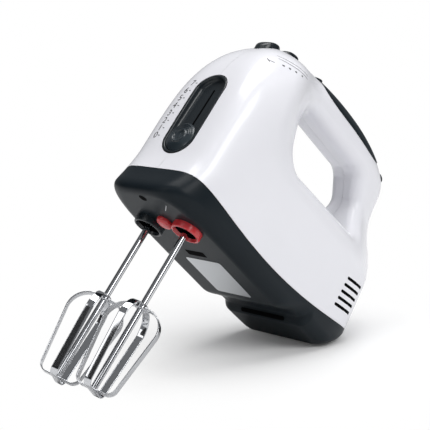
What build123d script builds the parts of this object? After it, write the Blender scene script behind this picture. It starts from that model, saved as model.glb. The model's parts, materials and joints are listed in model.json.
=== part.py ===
"""Hand mixer with two four-wing beaters, standing on its heel feet and beater tips."""
import os
from math import atan2, cos, degrees, pi, radians, sin, sqrt

from build123d import *

os.makedirs("parts", exist_ok=True)

# Sizes in millimetres and degrees, in the mixer's own frame: X to the nose, Z away from the underside.

# Standing pose
PITCH = 42.0
FOOT_HEIGHT = 2.0

# Housing form
HALF_WIDTH = 42.5
HANDLE_HALF = 16.5
NOSE = 30.5
NOSE_DROP = 2.0
CHIN = 12.0
CHIN_HEIGHT = 40.0
TAIL = -168.0
TAIL_LEAN = 7.5
HEEL_KICK = 4.0
HOLLOW = 7.0
HEEL_STEP = 3.0
TOP = 163.0
GRIP_START = -75.0
GRIP_END = -138.0
FRONT_SHOULDER = 70.0
REAR_SHOULDER = 110.0
HEAD_WAIST = 76.0
HEAD_TOP = 161.0
LOFT_TOP = 150.0
DOME_START = 149.2
BOTTOM_ROUND = 9.0
WALL = 3.0
CAVITY_TOP = 141.0
SEAM_LOW = 13.4
SEAM_MIDDLE = -50.0
SEAM_RADIUS = 435.0

# Finger opening
HOLE_ROUND = 12.0
HOLE_RIM = 10.0
HOLE_WALL = 8.0

# Grip cap on the handle
GRIP_FRONT = -45.0
GRIP_REAR = -136.0
GRIP_DEPTH = 13.0
LIP_HALF = 7.0

# Drive
SOCKET_Y = 17.5
GEAR_Z = 36.0
TEETH = 28
WORM_PITCH_R = 4.0
MESH_CLEARANCE = 0.3
GEAR_FACE = 8.0
TOOTH_HALF = 0.55
THREAD_HALF = 0.6
ADDENDUM = 0.9
WORM_TURNS = 6
WORM_END = 2.0
SHAFT_R = 2.5
SPINDLE_R = 5.5
ROD_R = 2.2
RUN_GAP = 0.3
BUSH_R = 7.5
BUSH_HEIGHT = 6.0

# Beaters
ROD_TOP = 48.0
WING_TOP = 58.0
WING_BOTTOM = 119.0
WING_R_TOP = 21.4
WING_R_BOTTOM = 13.6
SHOULDER_ROUND = 14.0
TIP_ROUND = 6.0
STRIP_WIDTH = 5.0
STRIP_THICK = 1.0
HUB_R = 4.0
HUB_HEIGHT = 3.5
WING_PHASE = 22.5
PHASE_STEP = 11.0

# Gear frame
FRAME_FLOOR = 12.0
FRAME_THICK = 3.0
FRAME_HALF = 24.0
BOX_HALF = 35.0
BOX_TOP = 57.5
BOX_REAR = -26.0
BOX_FRONT = 4.0
BOX_WALL = 2.5
BEARING_WALL = 4.0
REAR_WALL_X = -124.0
SCREW_R = 1.5

# Motor
CORE_REAR = -88.0
CORE_FRONT = -62.0
CORE_HALF_Y = 23.0
ARMATURE_R = 12.6
AIR_GAP = 0.5
FAN_REAR = -112.0
FAN_R = 20.0
COMMUTATOR_X = -44.0
COMMUTATOR_R = 9.0

# Speed control
TRACK_LOW = 36.0
TRACK_HIGH = 100.0
TRACK_WIDTH = 25.2
TRACK_RIM = 1.4
POCKET_DEPTH = 3.5
TRACK_FLOOR = 2.0
SLIDER_GAP = 0.4
SLIDER_RISE = 1.6
SLIT = 3.2
WIPER_THICK = 4.0
BOARD_THICK = 2.0

# Top buttons
EJECT_STROKE = 6.0
EJECT_FRONT = 14.2
EJECT_REAR = -2.2
EJECT_HALF = 6.8
EJECT_CROWN = 150.0
TURBO_STROKE = 2.0
TURBO_FRONT = -6.0
TURBO_REAR = -22.2
TURBO_HALF = 5.5
TURBO_CROWN = 157.6
BUTTON_GAP = 0.4

st = sin(radians(PITCH))
ct = cos(radians(PITCH))


def smooth(u):
    """Ease from 0 to 1."""
    u = min(max(u, 0.0), 1.0)
    return u * u * (3 - 2 * u)


def quarter(u, n):
    """Quarter of a superellipse falling from 1 to 0."""
    u = min(max(u, 0.0), 1.0)
    return (1 - u**n) ** (1 / n)


def front(z):
    """Nose line: a high shoulder over an upright face with a forward chin."""
    arch = quarter((z - FRONT_SHOULDER) / (TOP - NOSE_DROP - FRONT_SHOULDER), 3.0)
    return GRIP_START + (NOSE - GRIP_START) * arch + CHIN * max(0.0, 1 - z / CHIN_HEIGHT) ** 2


def rear(z):
    """Tail line: leaning forward a little before it rounds over into the handle."""
    tail = TAIL + TAIL_LEAN * smooth((z - 82) / 50)
    arch = quarter((z - REAR_SHOULDER) / (TOP - REAR_SHOULDER), 3.0)
    return GRIP_END + (tail - GRIP_END) * arch - HEEL_KICK * max(0.0, 1 - z / 70) ** 2


def half_width(x, z):
    """Half breadth: full in the motor room and head, narrowing to the handle behind the head."""
    head = HALF_WIDTH * quarter((z - HEAD_WAIST) / (HEAD_TOP - HEAD_WAIST), 2.8)
    spare = head - HANDLE_HALF
    spare = (spare + sqrt(spare * spare + 4)) / 2
    narrow = smooth((z - 62) / 60) * smooth((2 - x) / 50)
    return (HANDLE_HALF + spare * (1 - narrow)) * (1 - 0.06 * max(0.0, 1 - z / 40) ** 2)


def seam(x):
    """Height of the seam between shell and base: a shallow arc, lowest under the motor."""
    return SEAM_LOW + (x - SEAM_MIDDLE) ** 2 / (2 * SEAM_RADIUS)


def outline(z, inset, count):
    """Level section of the body as a superellipse, blunter at the nose, whose breadth follows half_width."""
    ahead = front(z) - inset
    behind = rear(z) + inset
    blunt = 6.0 - 2.7 * smooth((z - 60) / 85) - 2.0 * max(0.0, 1 - z / 30) ** 2
    plain = 5.0 - 1.7 * smooth(z / 150)
    points = []
    for i in range(count):
        c = cos(2 * pi * i / count)
        s = sin(2 * pi * i / count)
        n = blunt if c > 0 else plain
        x = (ahead + behind) / 2 + (ahead - behind) / 2 * abs(c) ** (2 / n) * (1 if c > 0 else -1)
        y = (half_width(x, z) - inset) * abs(s) ** (2 / n) * (1 if s > 0 else -1)
        points.append((x, y))
    return points


# Level of the floor below the underside's origin, set by the lowest beater tip
swing = cos(radians(WING_PHASE)) * st
tip_x = WING_R_BOTTOM + (WING_R_TOP - WING_R_BOTTOM) * TIP_ROUND / (WING_BOTTOM - WING_TOP) - TIP_ROUND
tip_z = WING_BOTTOM - TIP_ROUND
FLOOR = tip_x * swing + tip_z * ct + TIP_ROUND * sqrt(swing**2 + ct**2)
FLOOR = FLOOR + STRIP_WIDTH / 2 * sin(radians(WING_PHASE)) * st
heel_level = FLOOR - FOOT_HEIGHT
HEEL = Plane(origin=(-heel_level * st, 0, -heel_level * ct), x_dir=(ct, 0, -st), z_dir=(st, 0, ct))
HOLE = [(-30, 77.5), (-42.5, 132), (-119, 134), (-133, 114), (-128, 85)]

# Solid form of the whole body with the finger opening
with BuildPart() as body:
    for i in range(13):
        level = LOFT_TOP * i / 12
        with BuildSketch(Plane.XY.offset(level)):
            with BuildLine():
                Spline(*outline(level, 0, 36), periodic=True)
            make_face()
    loft()
    fillet(body.edges().group_by(Axis.Z)[0], BOTTOM_ROUND)
    extrude(body.faces().sort_by(Axis.Z)[-1], amount=TOP - LOFT_TOP + 1)
    arch_front = front(LOFT_TOP) + 2
    arch_rear = rear(LOFT_TOP) - 2
    with BuildSketch(Plane.XZ):
        with BuildLine():
            ridge = Spline((arch_front, LOFT_TOP - 1), (-34, TOP - 5.5), (-92, TOP), (-136, TOP - 5), (arch_rear, LOFT_TOP - 1))
            Polyline(ridge @ 1, (arch_rear, TOP + 20), (arch_front, TOP + 20), ridge @ 0)
        make_face()
    extrude(amount=60, both=True, mode=Mode.SUBTRACT)
    with BuildSketch(Plane.YZ.offset(TAIL - 30)):
        with BuildLine():
            dome = EllipticalCenterArc((0, DOME_START), HANDLE_HALF + 0.6, TOP + 0.6 - DOME_START, start_angle=0, arc_size=90)
            Polyline(dome @ 1, (0, TOP + 30), (60, TOP + 30), (60, DOME_START), dome @ 0)
        make_face()
        mirror(about=Plane.YZ)
    extrude(amount=300, mode=Mode.SUBTRACT)
    with BuildSketch(Plane.XZ):
        with BuildLine():
            FilletPolyline(*HOLE, radius=HOLE_ROUND, close=True)
        make_face()
    extrude(amount=60, both=True, mode=Mode.SUBTRACT)
    rim = [e for e in body.edges() if -135 < e.center().X < -28 and 74 < e.center().Z < 135 and abs(e.center().Y) > 8]
    fillet(rim, HOLE_RIM)
    split(bisect_by=HEEL, keep=Keep.TOP)

# Room inside the shell for motor, gears and controls
with BuildPart() as cavity:
    for i in range(11):
        level = WALL + (CAVITY_TOP - WALL) * i / 10
        with BuildSketch(Plane.XY.offset(level)):
            with BuildLine():
                Spline(*outline(level + WALL, WALL, 24), periodic=True)
            make_face()
    loft()
    fillet(cavity.edges().group_by(Axis.Z)[0], BOTTOM_ROUND - WALL)
    with BuildSketch(Plane.XZ):
        with BuildLine():
            FilletPolyline(*HOLE, radius=HOLE_ROUND, close=True)
        make_face()
        offset(amount=HOLE_WALL)
    extrude(amount=60, both=True, mode=Mode.SUBTRACT)
    with BuildSketch(Plane.XZ):
        with BuildLine():
            Polyline((-76, 0), (-108, HOLLOW + WALL), (-180, HOLLOW + WALL), (-180, 0), close=True)
        make_face()
    extrude(amount=60, both=True, mode=Mode.SUBTRACT)
    split(bisect_by=HEEL.offset(WALL), keep=Keep.TOP)

# Walls of the whole housing
with BuildPart() as walls:
    add(body.part)
    add(cavity.part, mode=Mode.SUBTRACT)

# Plane of the speed track, laid across the nose face, with its own up along local Y
rise = TRACK_HIGH - TRACK_LOW
fall = front(TRACK_LOW) - front(TRACK_HIGH)
TRACK_LENGTH = sqrt(rise**2 + fall**2)
TRACK = Plane(
    origin=((front(TRACK_LOW) + front(TRACK_HIGH)) / 2, 0, (TRACK_LOW + TRACK_HIGH) / 2),
    x_dir=(0, 1, 0),
    z_dir=(rise / TRACK_LENGTH, 0, fall / TRACK_LENGTH),
)
pocket_length = TRACK_LENGTH - 2 * TRACK_RIM
pocket_width = TRACK_WIDTH - 2 * TRACK_RIM
slider_size = pocket_width - 2 * SLIDER_GAP
SLIDER_TRAVEL = pocket_length - slider_size - 2 * SLIDER_GAP
slider_start = -SLIDER_TRAVEL / 2
track_back = POCKET_DEPTH + TRACK_FLOOR
wiper_top = track_back + RUN_GAP
board_top = wiper_top + WIPER_THICK + RUN_GAP

# Heights shared by the gear train
frame_top = FRAME_FLOOR + FRAME_THICK
gear_pitch_r = SOCKET_Y - WORM_PITCH_R
LEAD = 2 * pi * gear_pitch_r / TEETH
thread_root = WORM_PITCH_R - ADDENDUM - MESH_CLEARANCE
tooth_root = gear_pitch_r - ADDENDUM - MESH_CLEARANCE
WORM_LENGTH = WORM_TURNS * LEAD
low_bush = FRAME_FLOOR - 1
high_bush = BOX_TOP - FRAME_THICK - 1.5
spindle_low = 8.0
spindle_high = high_bush + BUSH_HEIGHT + 1
hub_low = low_bush + BUSH_HEIGHT + RUN_GAP
hub_high = high_bush - RUN_GAP
spindle_bore = ROD_R + 0.3
collar_top = spindle_low - RUN_GAP
NOSE_SCREW_X = 30.0
NOSE_TONGUE_R = 2.6
FRAME_SCREWS = [(-33, 19), (-33, -19), (-116, 18), (-116, -18)]
SOCKETS = [(0, SOCKET_Y), (0, -SOCKET_Y)]
collar_tube = 8.0
collar_flange = 10.4
collar_lip = 8.2
collar_proud = 4.8
yoke_low = spindle_high + EJECT_STROKE + 3
yoke_thick = 4.0
stem_x = 5.0
stem_top = 126.0
FOOT_PLACE = (-152.5, 24.0)
MARKER_LONG = 6.2
MARKER_WIDE = 5.6

# Space taken by the grip cap along the top of the handle
with BuildPart() as grip_room:
    with BuildSketch(Plane.XZ):
        with BuildLine():
            floor_line = Spline(
                (GRIP_FRONT, TOP - 2),
                (GRIP_FRONT - 13, TOP - GRIP_DEPTH + 2),
                ((GRIP_FRONT + GRIP_REAR) / 2, TOP - GRIP_DEPTH),
                (GRIP_REAR + 14, TOP - GRIP_DEPTH + 1),
                (GRIP_REAR, TOP - 4),
            )
            Polyline(floor_line @ 1, (GRIP_REAR, TOP + 10), (GRIP_FRONT, TOP + 10), floor_line @ 0)
        make_face()
    extrude(amount=30, both=True)

# Grip cap flush with the handle's top, and with a raised lip at its front
with BuildPart() as grip_cap:
    add(body.part)
    add(grip_room.part, mode=Mode.INTERSECT)

with BuildPart() as handle_grip:
    with BuildSketch(Plane.XZ):
        with BuildLine():
            lip_front = GRIP_FRONT + 8
            Polyline((lip_front, TOP - 9), (lip_front - 9, TOP - 1), (lip_front - 12, TOP - 1), (lip_front - 14, TOP - 9), close=True)
        make_face()
    extrude(amount=LIP_HALF, both=True)
    with BuildSketch(Plane.YZ.offset(lip_front + 1)):
        with Locations((0, TOP - 13)):
            Ellipse(LIP_HALF + 5, 12.6)
    extrude(amount=-16, mode=Mode.INTERSECT)
    add(body.part, mode=Mode.SUBTRACT)
    add(grip_cap.part)

# Space taken by the speed track through the nose wall
with BuildPart() as track_room:
    with BuildSketch(TRACK.offset(-track_back)):
        SlotOverall(TRACK_LENGTH, TRACK_WIDTH, rotation=90)
    extrude(amount=track_back + 12)

# Space taken by the cord inlet at the top of the tail
INLET = Plane(origin=(-153, 0, 152.5), x_dir=(0, 1, 0), z_dir=(-0.5, 0, 0.866))
INLET_R = 5.0
with BuildPart() as inlet_room:
    with BuildSketch(INLET.offset(-9)):
        Circle(INLET_R)
    extrude(amount=20)

# Space below the seam
with BuildPart() as base_room:
    with BuildSketch(Plane.XZ):
        with BuildLine():
            joint = ThreePointArc((60, seam(60)), (SEAM_MIDDLE, SEAM_LOW), (-200, seam(-200)))
            Polyline(joint @ 1, (-200, -40), (60, -40), joint @ 0)
        make_face()
    extrude(amount=60, both=True)

# Whole upper shell before it parts into halves
with BuildPart() as shell:
    add(walls.part)
    add(base_room.part, mode=Mode.SUBTRACT)
    add(grip_room.part, mode=Mode.SUBTRACT)
    add(track_room.part, mode=Mode.SUBTRACT)
    add(inlet_room.part, mode=Mode.SUBTRACT)
    eject_mid = (EJECT_FRONT + EJECT_REAR) / 2
    eject_long = EJECT_FRONT - EJECT_REAR
    turbo_mid = (TURBO_FRONT + TURBO_REAR) / 2
    turbo_long = TURBO_FRONT - TURBO_REAR
    with BuildSketch(Plane.XY.offset(CAVITY_TOP - 22)):
        with Locations((eject_mid, 0)):
            SlotOverall(eject_long + 2 * BUTTON_GAP, 2 * EJECT_HALF + 2 * BUTTON_GAP)
        with Locations((turbo_mid, 0)):
            SlotOverall(turbo_long + 2 * BUTTON_GAP, 2 * TURBO_HALF + 2 * BUTTON_GAP)
    extrude(amount=60, mode=Mode.SUBTRACT)
    with BuildSketch(Plane.XZ):
        for k in range(5):
            with Locations((-143.5, 56 - 5.3 * k)):
                SlotOverall(19, 2.0, rotation=-10)
    extrude(amount=60, both=True, mode=Mode.SUBTRACT)

with BuildPart() as housing_left:
    add(shell.part)
    split(bisect_by=Plane.XZ, keep=Keep.BOTTOM)

with BuildPart() as housing_right:
    add(shell.part)
    split(bisect_by=Plane.XZ, keep=Keep.TOP)

# Dark base below the seam, with sockets, slots, heel hollow and screw bosses
with BuildPart() as base_cover:
    add(walls.part)
    add(base_room.part, mode=Mode.INTERSECT)
    with BuildSketch(Plane.XY.offset(WALL - 1)):
        with Locations(*FRAME_SCREWS):
            Circle(4.5)
        with Locations((NOSE_SCREW_X, 0)):
            Circle(4.0)
    extrude(amount=FRAME_FLOOR - WALL + 1)
    with BuildSketch(Plane.XZ):
        with BuildLine():
            hollow = [(-85, 0), (-108, HOLLOW), (-113, HOLLOW), (-117, HEEL_STEP), (-150, HEEL_STEP)]
            FilletPolyline(*hollow, (-150, -10), (-85, -10), radius=1.2, close=True)
        make_face()
    extrude(amount=60, both=True, mode=Mode.SUBTRACT)
    with BuildSketch(Plane.YZ.offset(-122)):
        with Locations((0, (HOLLOW + HEEL_STEP) / 2)):
            SlotOverall(41, 2.4)
    extrude(amount=10, mode=Mode.SUBTRACT)
    with BuildSketch(Plane.XY.offset(-1)):
        with Locations(*SOCKETS):
            Circle(collar_tube)
        with Locations((-32, 0)):
            Rectangle(6, 17)
        with Locations((NOSE_SCREW_X, 0)):
            Circle(SCREW_R)
    extrude(amount=30, mode=Mode.SUBTRACT)
    with BuildSketch(Plane.XY.offset(9.5)):
        with Locations(*FRAME_SCREWS):
            Circle(SCREW_R)
    extrude(amount=10, mode=Mode.SUBTRACT)
    with BuildSketch(Plane.XY):
        with Locations((NOSE_SCREW_X, 0)):
            Circle(3.2)
    extrude(amount=6, mode=Mode.SUBTRACT)
    with BuildSketch(Plane.XY):
        with Locations((-60.6, 0)):
            Rectangle(42, 32.4)
    extrude(amount=0.5, mode=Mode.SUBTRACT)
    with BuildSketch(Plane.XY):
        with Locations((4.4, 0)):
            Ellipse(MARKER_LONG, MARKER_WIDE)
    extrude(amount=1.2, mode=Mode.SUBTRACT)

with BuildPart() as rating_plate:
    with BuildSketch(Plane.XY):
        with Locations((-60.6, 0)):
            Rectangle(42, 32.4)
    extrude(amount=0.5)

with BuildPart() as marker_tab:
    with BuildSketch(Plane.XY.offset(1.2)):
        with Locations((4.4, 0)):
            Ellipse(MARKER_LONG, MARKER_WIDE)
    extrude(amount=-4.4)
    fillet(marker_tab.edges().group_by(Axis.Z)[0], 2.4)

# Rubber feet on the heel, down to the floor
with BuildPart() as heel_feet:
    with BuildSketch(HEEL):
        foot_u = FOOT_PLACE[0] / ct + heel_level * st / ct
        with Locations((foot_u, FOOT_PLACE[1]), (foot_u, -FOOT_PLACE[1])):
            Circle(4.0)
    extrude(amount=-FOOT_HEIGHT)

with BuildPart() as base_screw:
    with BuildSketch(Plane.XY.offset(3.8)):
        with Locations((NOSE_SCREW_X, 0)):
            Circle(3.0)
    extrude(amount=2.2)
    with BuildSketch(Plane.XY.offset(6)):
        with Locations((NOSE_SCREW_X, 0)):
            Circle(SCREW_R)
    extrude(amount=frame_top - 6)

with BuildPart() as cord_inlet:
    with BuildSketch(INLET.offset(-9)):
        Circle(INLET_R)
    extrude(amount=10.8)
    with BuildSketch(INLET.offset(-5)):
        Circle(INLET_R - 1.6)
    extrude(amount=20, mode=Mode.SUBTRACT)

# Domed funnel collar of a beater socket
with BuildPart() as socket_collar_left:
    with BuildSketch(Plane.XZ):
        with BuildLine():
            throat = SPINDLE_R + RUN_GAP
            Polyline((throat, collar_top), (collar_tube, collar_top), (collar_tube, 0), (collar_flange, 0))
            ThreePointArc((collar_flange, 0), (collar_flange - 0.7, -collar_proud * 0.66), (collar_lip, -collar_proud))
            Polyline((collar_lip, -collar_proud), (collar_lip - 1, -collar_proud), (throat, 3), (throat, collar_top))
        make_face()
    revolve(axis=Axis.Z)
socket_collar_left.part = Location((0, SOCKET_Y, 0)) * socket_collar_left.part

with BuildPart() as socket_collar_right:
    with Locations((0, -2 * SOCKET_Y, 0)):
        add(socket_collar_left.part)

# Chassis: gear box at the front, motor bed, rear bearing wall and brush posts
with BuildPart() as gear_frame:
    with BuildSketch(Plane.XY.offset(FRAME_FLOOR)):
        with Locations(((REAR_WALL_X - 4 + BOX_REAR) / 2, 0)):
            Rectangle(BOX_REAR - REAR_WALL_X + 4, 2 * FRAME_HALF)
        with Locations(((BOX_REAR + BOX_FRONT) / 2, 0)):
            Rectangle(BOX_FRONT - BOX_REAR, 2 * BOX_HALF)
        with Locations(((BOX_REAR + 11) / 2, 0)):
            Rectangle(11 - BOX_REAR, 2 * (SOCKET_Y + BUSH_R + 2))
        with Locations((NOSE_SCREW_X / 2, 0)):
            Rectangle(NOSE_SCREW_X, 2 * NOSE_TONGUE_R)
        with Locations((NOSE_SCREW_X, 0)):
            Circle(NOSE_TONGUE_R)
    extrude(amount=FRAME_THICK)
    with BuildSketch(Plane.XY.offset(BOX_TOP - FRAME_THICK)):
        with Locations(((BOX_REAR + BOX_FRONT) / 2, 0)):
            Rectangle(BOX_FRONT - BOX_REAR, 2 * BOX_HALF)
        with Locations(((BOX_REAR + 11) / 2, 0)):
            Rectangle(11 - BOX_REAR, 2 * (SOCKET_Y + BUSH_R + 2))
    extrude(amount=FRAME_THICK)
    with BuildSketch(Plane.XY.offset(frame_top)):
        with Locations((BOX_REAR + BEARING_WALL / 2, 0)):
            Rectangle(BEARING_WALL, 2 * BOX_HALF)
        with Locations(((BOX_REAR + BOX_FRONT) / 2, BOX_HALF - BOX_WALL / 2)):
            Rectangle(BOX_FRONT - BOX_REAR, BOX_WALL)
        with Locations(((BOX_REAR + BOX_FRONT) / 2, BOX_WALL / 2 - BOX_HALF)):
            Rectangle(BOX_FRONT - BOX_REAR, BOX_WALL)
    extrude(amount=BOX_TOP - FRAME_THICK - frame_top)
    with BuildSketch(Plane.XY.offset(frame_top)):
        with Locations((REAR_WALL_X + BEARING_WALL / 2, 0)):
            Rectangle(BEARING_WALL, 32)
    extrude(amount=GEAR_Z + 11 - frame_top)
    with BuildSketch(Plane.XY.offset(frame_top)):
        with Locations((COMMUTATOR_X, 18), (COMMUTATOR_X, -18)):
            Rectangle(8, 8)
    extrude(amount=GEAR_Z - 4 - frame_top)
    with BuildSketch(Plane.XY.offset(FRAME_FLOOR - 1)):
        with Locations(*SOCKETS):
            Circle(BUSH_R)
    extrude(amount=60, mode=Mode.SUBTRACT)
    with BuildSketch(Plane.XY.offset(FRAME_FLOOR - 1)):
        with Locations((NOSE_SCREW_X, 0), *FRAME_SCREWS):
            Circle(SCREW_R)
    extrude(amount=FRAME_THICK + 2, mode=Mode.SUBTRACT)
    with BuildSketch(Plane.YZ.offset(REAR_WALL_X - 1)):
        with Locations((0, GEAR_Z)):
            Circle(7)
    extrude(amount=BOX_REAR + BEARING_WALL + 2 - REAR_WALL_X, mode=Mode.SUBTRACT)

with BuildPart() as frame_screws:
    with BuildSketch(Plane.XY.offset(frame_top)):
        with Locations(*FRAME_SCREWS):
            Circle(3.0)
    extrude(amount=2)
    with BuildSketch(Plane.XY.offset(frame_top)):
        with Locations(*FRAME_SCREWS):
            Circle(SCREW_R)
    extrude(amount=9.5 - frame_top)

with BuildPart() as front_bearing:
    with BuildSketch(Plane.YZ.offset(BOX_REAR - 1)):
        with Locations((0, GEAR_Z)):
            Circle(7)
            Circle(SHAFT_R + RUN_GAP, mode=Mode.SUBTRACT)
    extrude(amount=BEARING_WALL + 2)

with BuildPart() as rear_bearing:
    with BuildSketch(Plane.YZ.offset(REAR_WALL_X - 1)):
        with Locations((0, GEAR_Z)):
            Circle(7)
            Circle(SHAFT_R + RUN_GAP, mode=Mode.SUBTRACT)
    extrude(amount=BEARING_WALL + 2)

with BuildPart() as spindle_bushes:
    for level in (low_bush, high_bush):
        with BuildSketch(Plane.XY.offset(level)):
            with Locations(*SOCKETS):
                Circle(BUSH_R)
                Circle(SPINDLE_R + RUN_GAP, mode=Mode.SUBTRACT)
        extrude(amount=BUSH_HEIGHT)

# Stator with side windows for the coils
with BuildPart() as field_core:
    with BuildSketch(Plane.YZ.offset(CORE_REAR)):
        with Locations((0, GEAR_Z)):
            RectangleRounded(2 * CORE_HALF_Y, 2 * (GEAR_Z - frame_top), 5)
            Circle(ARMATURE_R + AIR_GAP, mode=Mode.SUBTRACT)
        with Locations((15.5, GEAR_Z), (-15.5, GEAR_Z)):
            Rectangle(7, 22, mode=Mode.SUBTRACT)
    extrude(amount=CORE_FRONT - CORE_REAR)

with BuildPart() as field_coils:
    with BuildSketch(Plane.YZ.offset(CORE_REAR - 6)):
        with Locations((16, GEAR_Z), (-16, GEAR_Z)):
            RectangleRounded(6, 22, 2)
    extrude(amount=CORE_FRONT - CORE_REAR + 12)

with BuildPart() as brush_holders:
    for side in (1, -1):
        with BuildSketch(Plane.XZ.offset(-side * 11)):
            with Locations((COMMUTATOR_X, GEAR_Z)):
                Rectangle(8, 8)
                Rectangle(5, 5, mode=Mode.SUBTRACT)
        extrude(amount=-side * 13)

with BuildPart() as carbon_brushes:
    for side in (1, -1):
        with BuildSketch(Plane.XZ.offset(-side * (COMMUTATOR_R + RUN_GAP))):
            with Locations((COMMUTATOR_X, GEAR_Z)):
                Rectangle(5, 5)
        extrude(amount=-side * 12)

# Rotor: shaft with worm thread, core, windings, commutator and fan
with BuildPart() as worm_shaft:
    with BuildSketch(Plane.YZ.offset(REAR_WALL_X - 2)):
        with Locations((0, GEAR_Z)):
            Circle(SHAFT_R)
    extrude(amount=14 - REAR_WALL_X + 2)
    with BuildSketch(Plane.YZ.offset(-WORM_LENGTH / 2 - WORM_END)):
        with Locations((0, GEAR_Z)):
            Circle(thread_root)
    extrude(amount=WORM_LENGTH + 2 * WORM_END)
    with BuildLine() as thread_path:
        Helix(LEAD, WORM_LENGTH, thread_root, center=(-WORM_LENGTH / 2, 0, GEAR_Z), direction=(1, 0, 0))
    thread_start = thread_path.line @ 0
    outward = (thread_start - Vector(-WORM_LENGTH / 2, 0, GEAR_Z)).normalized()
    with BuildSketch(Plane(origin=thread_start, x_dir=(1, 0, 0), z_dir=Vector(1, 0, 0).cross(outward))):
        reach = 2 * ADDENDUM + MESH_CLEARANCE
        base_half = THREAD_HALF + (ADDENDUM + MESH_CLEARANCE) * 0.36
        tip_half = THREAD_HALF - ADDENDUM * 0.36
        Polygon((-base_half, -0.3), (base_half, -0.3), (tip_half, reach), (-tip_half, reach), align=None)
    sweep(path=thread_path.line, is_frenet=True)
thread_angle = atan2(outward.Z, outward.Y)

with BuildPart() as armature_core:
    with BuildSketch(Plane.YZ.offset(CORE_REAR)):
        with Locations((0, GEAR_Z)):
            Circle(ARMATURE_R)
            with PolarLocations(ARMATURE_R - 1.2, 12):
                Rectangle(4, 1.6, mode=Mode.SUBTRACT)
            Circle(SHAFT_R, mode=Mode.SUBTRACT)
    extrude(amount=CORE_FRONT - CORE_REAR)

with BuildPart() as armature_windings:
    for start in (CORE_REAR - 9, CORE_FRONT):
        with BuildSketch(Plane.YZ.offset(start)):
            with Locations((0, GEAR_Z)):
                Circle(ARMATURE_R - 2)
                Circle(SHAFT_R, mode=Mode.SUBTRACT)
        extrude(amount=9)
    fillet(armature_windings.edges().filter_by(GeomType.CIRCLE).filter_by(lambda e: e.radius > 6), 3)

with BuildPart() as commutator:
    with BuildSketch(Plane.YZ.offset(COMMUTATOR_X - 6)):
        with Locations((0, GEAR_Z)):
            Circle(COMMUTATOR_R)
            Circle(SHAFT_R, mode=Mode.SUBTRACT)
    extrude(amount=12)

with BuildPart() as cooling_fan:
    with BuildSketch(Plane.YZ.offset(FAN_REAR)):
        with Locations((0, GEAR_Z)):
            Circle(FAN_R)
            Circle(SHAFT_R, mode=Mode.SUBTRACT)
    extrude(amount=1.5)
    with BuildSketch(Plane.YZ.offset(FAN_REAR)):
        with Locations((0, GEAR_Z)):
            Circle(6)
            with PolarLocations(FAN_R / 2 + 2.5, 8):
                Rectangle(FAN_R - 5.5, 1.2, rotation=20)
            Circle(SHAFT_R, mode=Mode.SUBTRACT)
    extrude(amount=11)

# Worm wheels: the tooth gaps sit on the thread where each wheel meets it
left_shift = degrees(-thread_angle / (2 * pi) * LEAD / gear_pitch_r)
right_shift = degrees((pi - thread_angle) / (2 * pi) * LEAD / gear_pitch_r)
half_tooth = 180 / TEETH
with BuildPart() as drive_gear_left:
    with BuildSketch(Plane.XY.offset(GEAR_Z - GEAR_FACE / 2)):
        with Locations((0, SOCKET_Y)):
            Circle(tooth_root)
            with PolarLocations(0, TEETH, start_angle=-90 + half_tooth + left_shift):
                root_half = TOOTH_HALF + (ADDENDUM + MESH_CLEARANCE) * 0.36
                top_half = TOOTH_HALF - ADDENDUM * 0.36
                Polygon(
                    (tooth_root - 0.5, -root_half),
                    (gear_pitch_r + ADDENDUM, -top_half),
                    (gear_pitch_r + ADDENDUM, top_half),
                    (tooth_root - 0.5, root_half),
                    align=None,
                )
    extrude(amount=GEAR_FACE)
    with BuildSketch(Plane.XY.offset(hub_low)):
        with Locations((0, SOCKET_Y)):
            Circle(BUSH_R)
    extrude(amount=hub_high - hub_low)
    with BuildSketch(Plane.XY.offset(hub_low)):
        with Locations((0, SOCKET_Y)):
            Circle(SPINDLE_R)
    extrude(amount=hub_high - hub_low, mode=Mode.SUBTRACT)

with BuildPart() as drive_gear_right:
    with Locations(Location((0, -SOCKET_Y, 0), (0, 0, 180 - right_shift - left_shift))):
        add(Location((0, -SOCKET_Y, 0)) * drive_gear_left.part)

# Hollow spindle with slots for the ears of the beater rod
with BuildPart() as spindle_left:
    with BuildSketch(Plane.XY.offset(spindle_low)):
        with Locations((0, SOCKET_Y)):
            Circle(SPINDLE_R)
            Circle(spindle_bore, mode=Mode.SUBTRACT)
    extrude(amount=spindle_high - spindle_low)
    with BuildSketch(Plane.XY.offset(spindle_low)):
        with Locations((0, SOCKET_Y)):
            Rectangle(9.8, 2.2)
    extrude(amount=7, mode=Mode.SUBTRACT)

with BuildPart() as spindle_right:
    with Locations((0, -2 * SOCKET_Y, 0)):
        add(spindle_left.part)

with BuildPart() as beater_shaft_left:
    with BuildSketch(Plane.XY.offset(2 * STRIP_THICK - WING_BOTTOM)):
        with Locations((0, SOCKET_Y)):
            Circle(ROD_R)
    extrude(amount=WING_BOTTOM - 2 * STRIP_THICK + ROD_TOP)
    chamfer(beater_shaft_left.edges().group_by(Axis.Z)[-1], 0.8)
    with BuildSketch(Plane.XY.offset(spindle_low + 1.5)):
        with Locations((0, SOCKET_Y)):
            Rectangle(9.2, 1.5)
    extrude(amount=5)

with BuildPart() as beater_shaft_right:
    with Locations((0, -2 * SOCKET_Y, 0)):
        add(beater_shaft_left.part)

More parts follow.
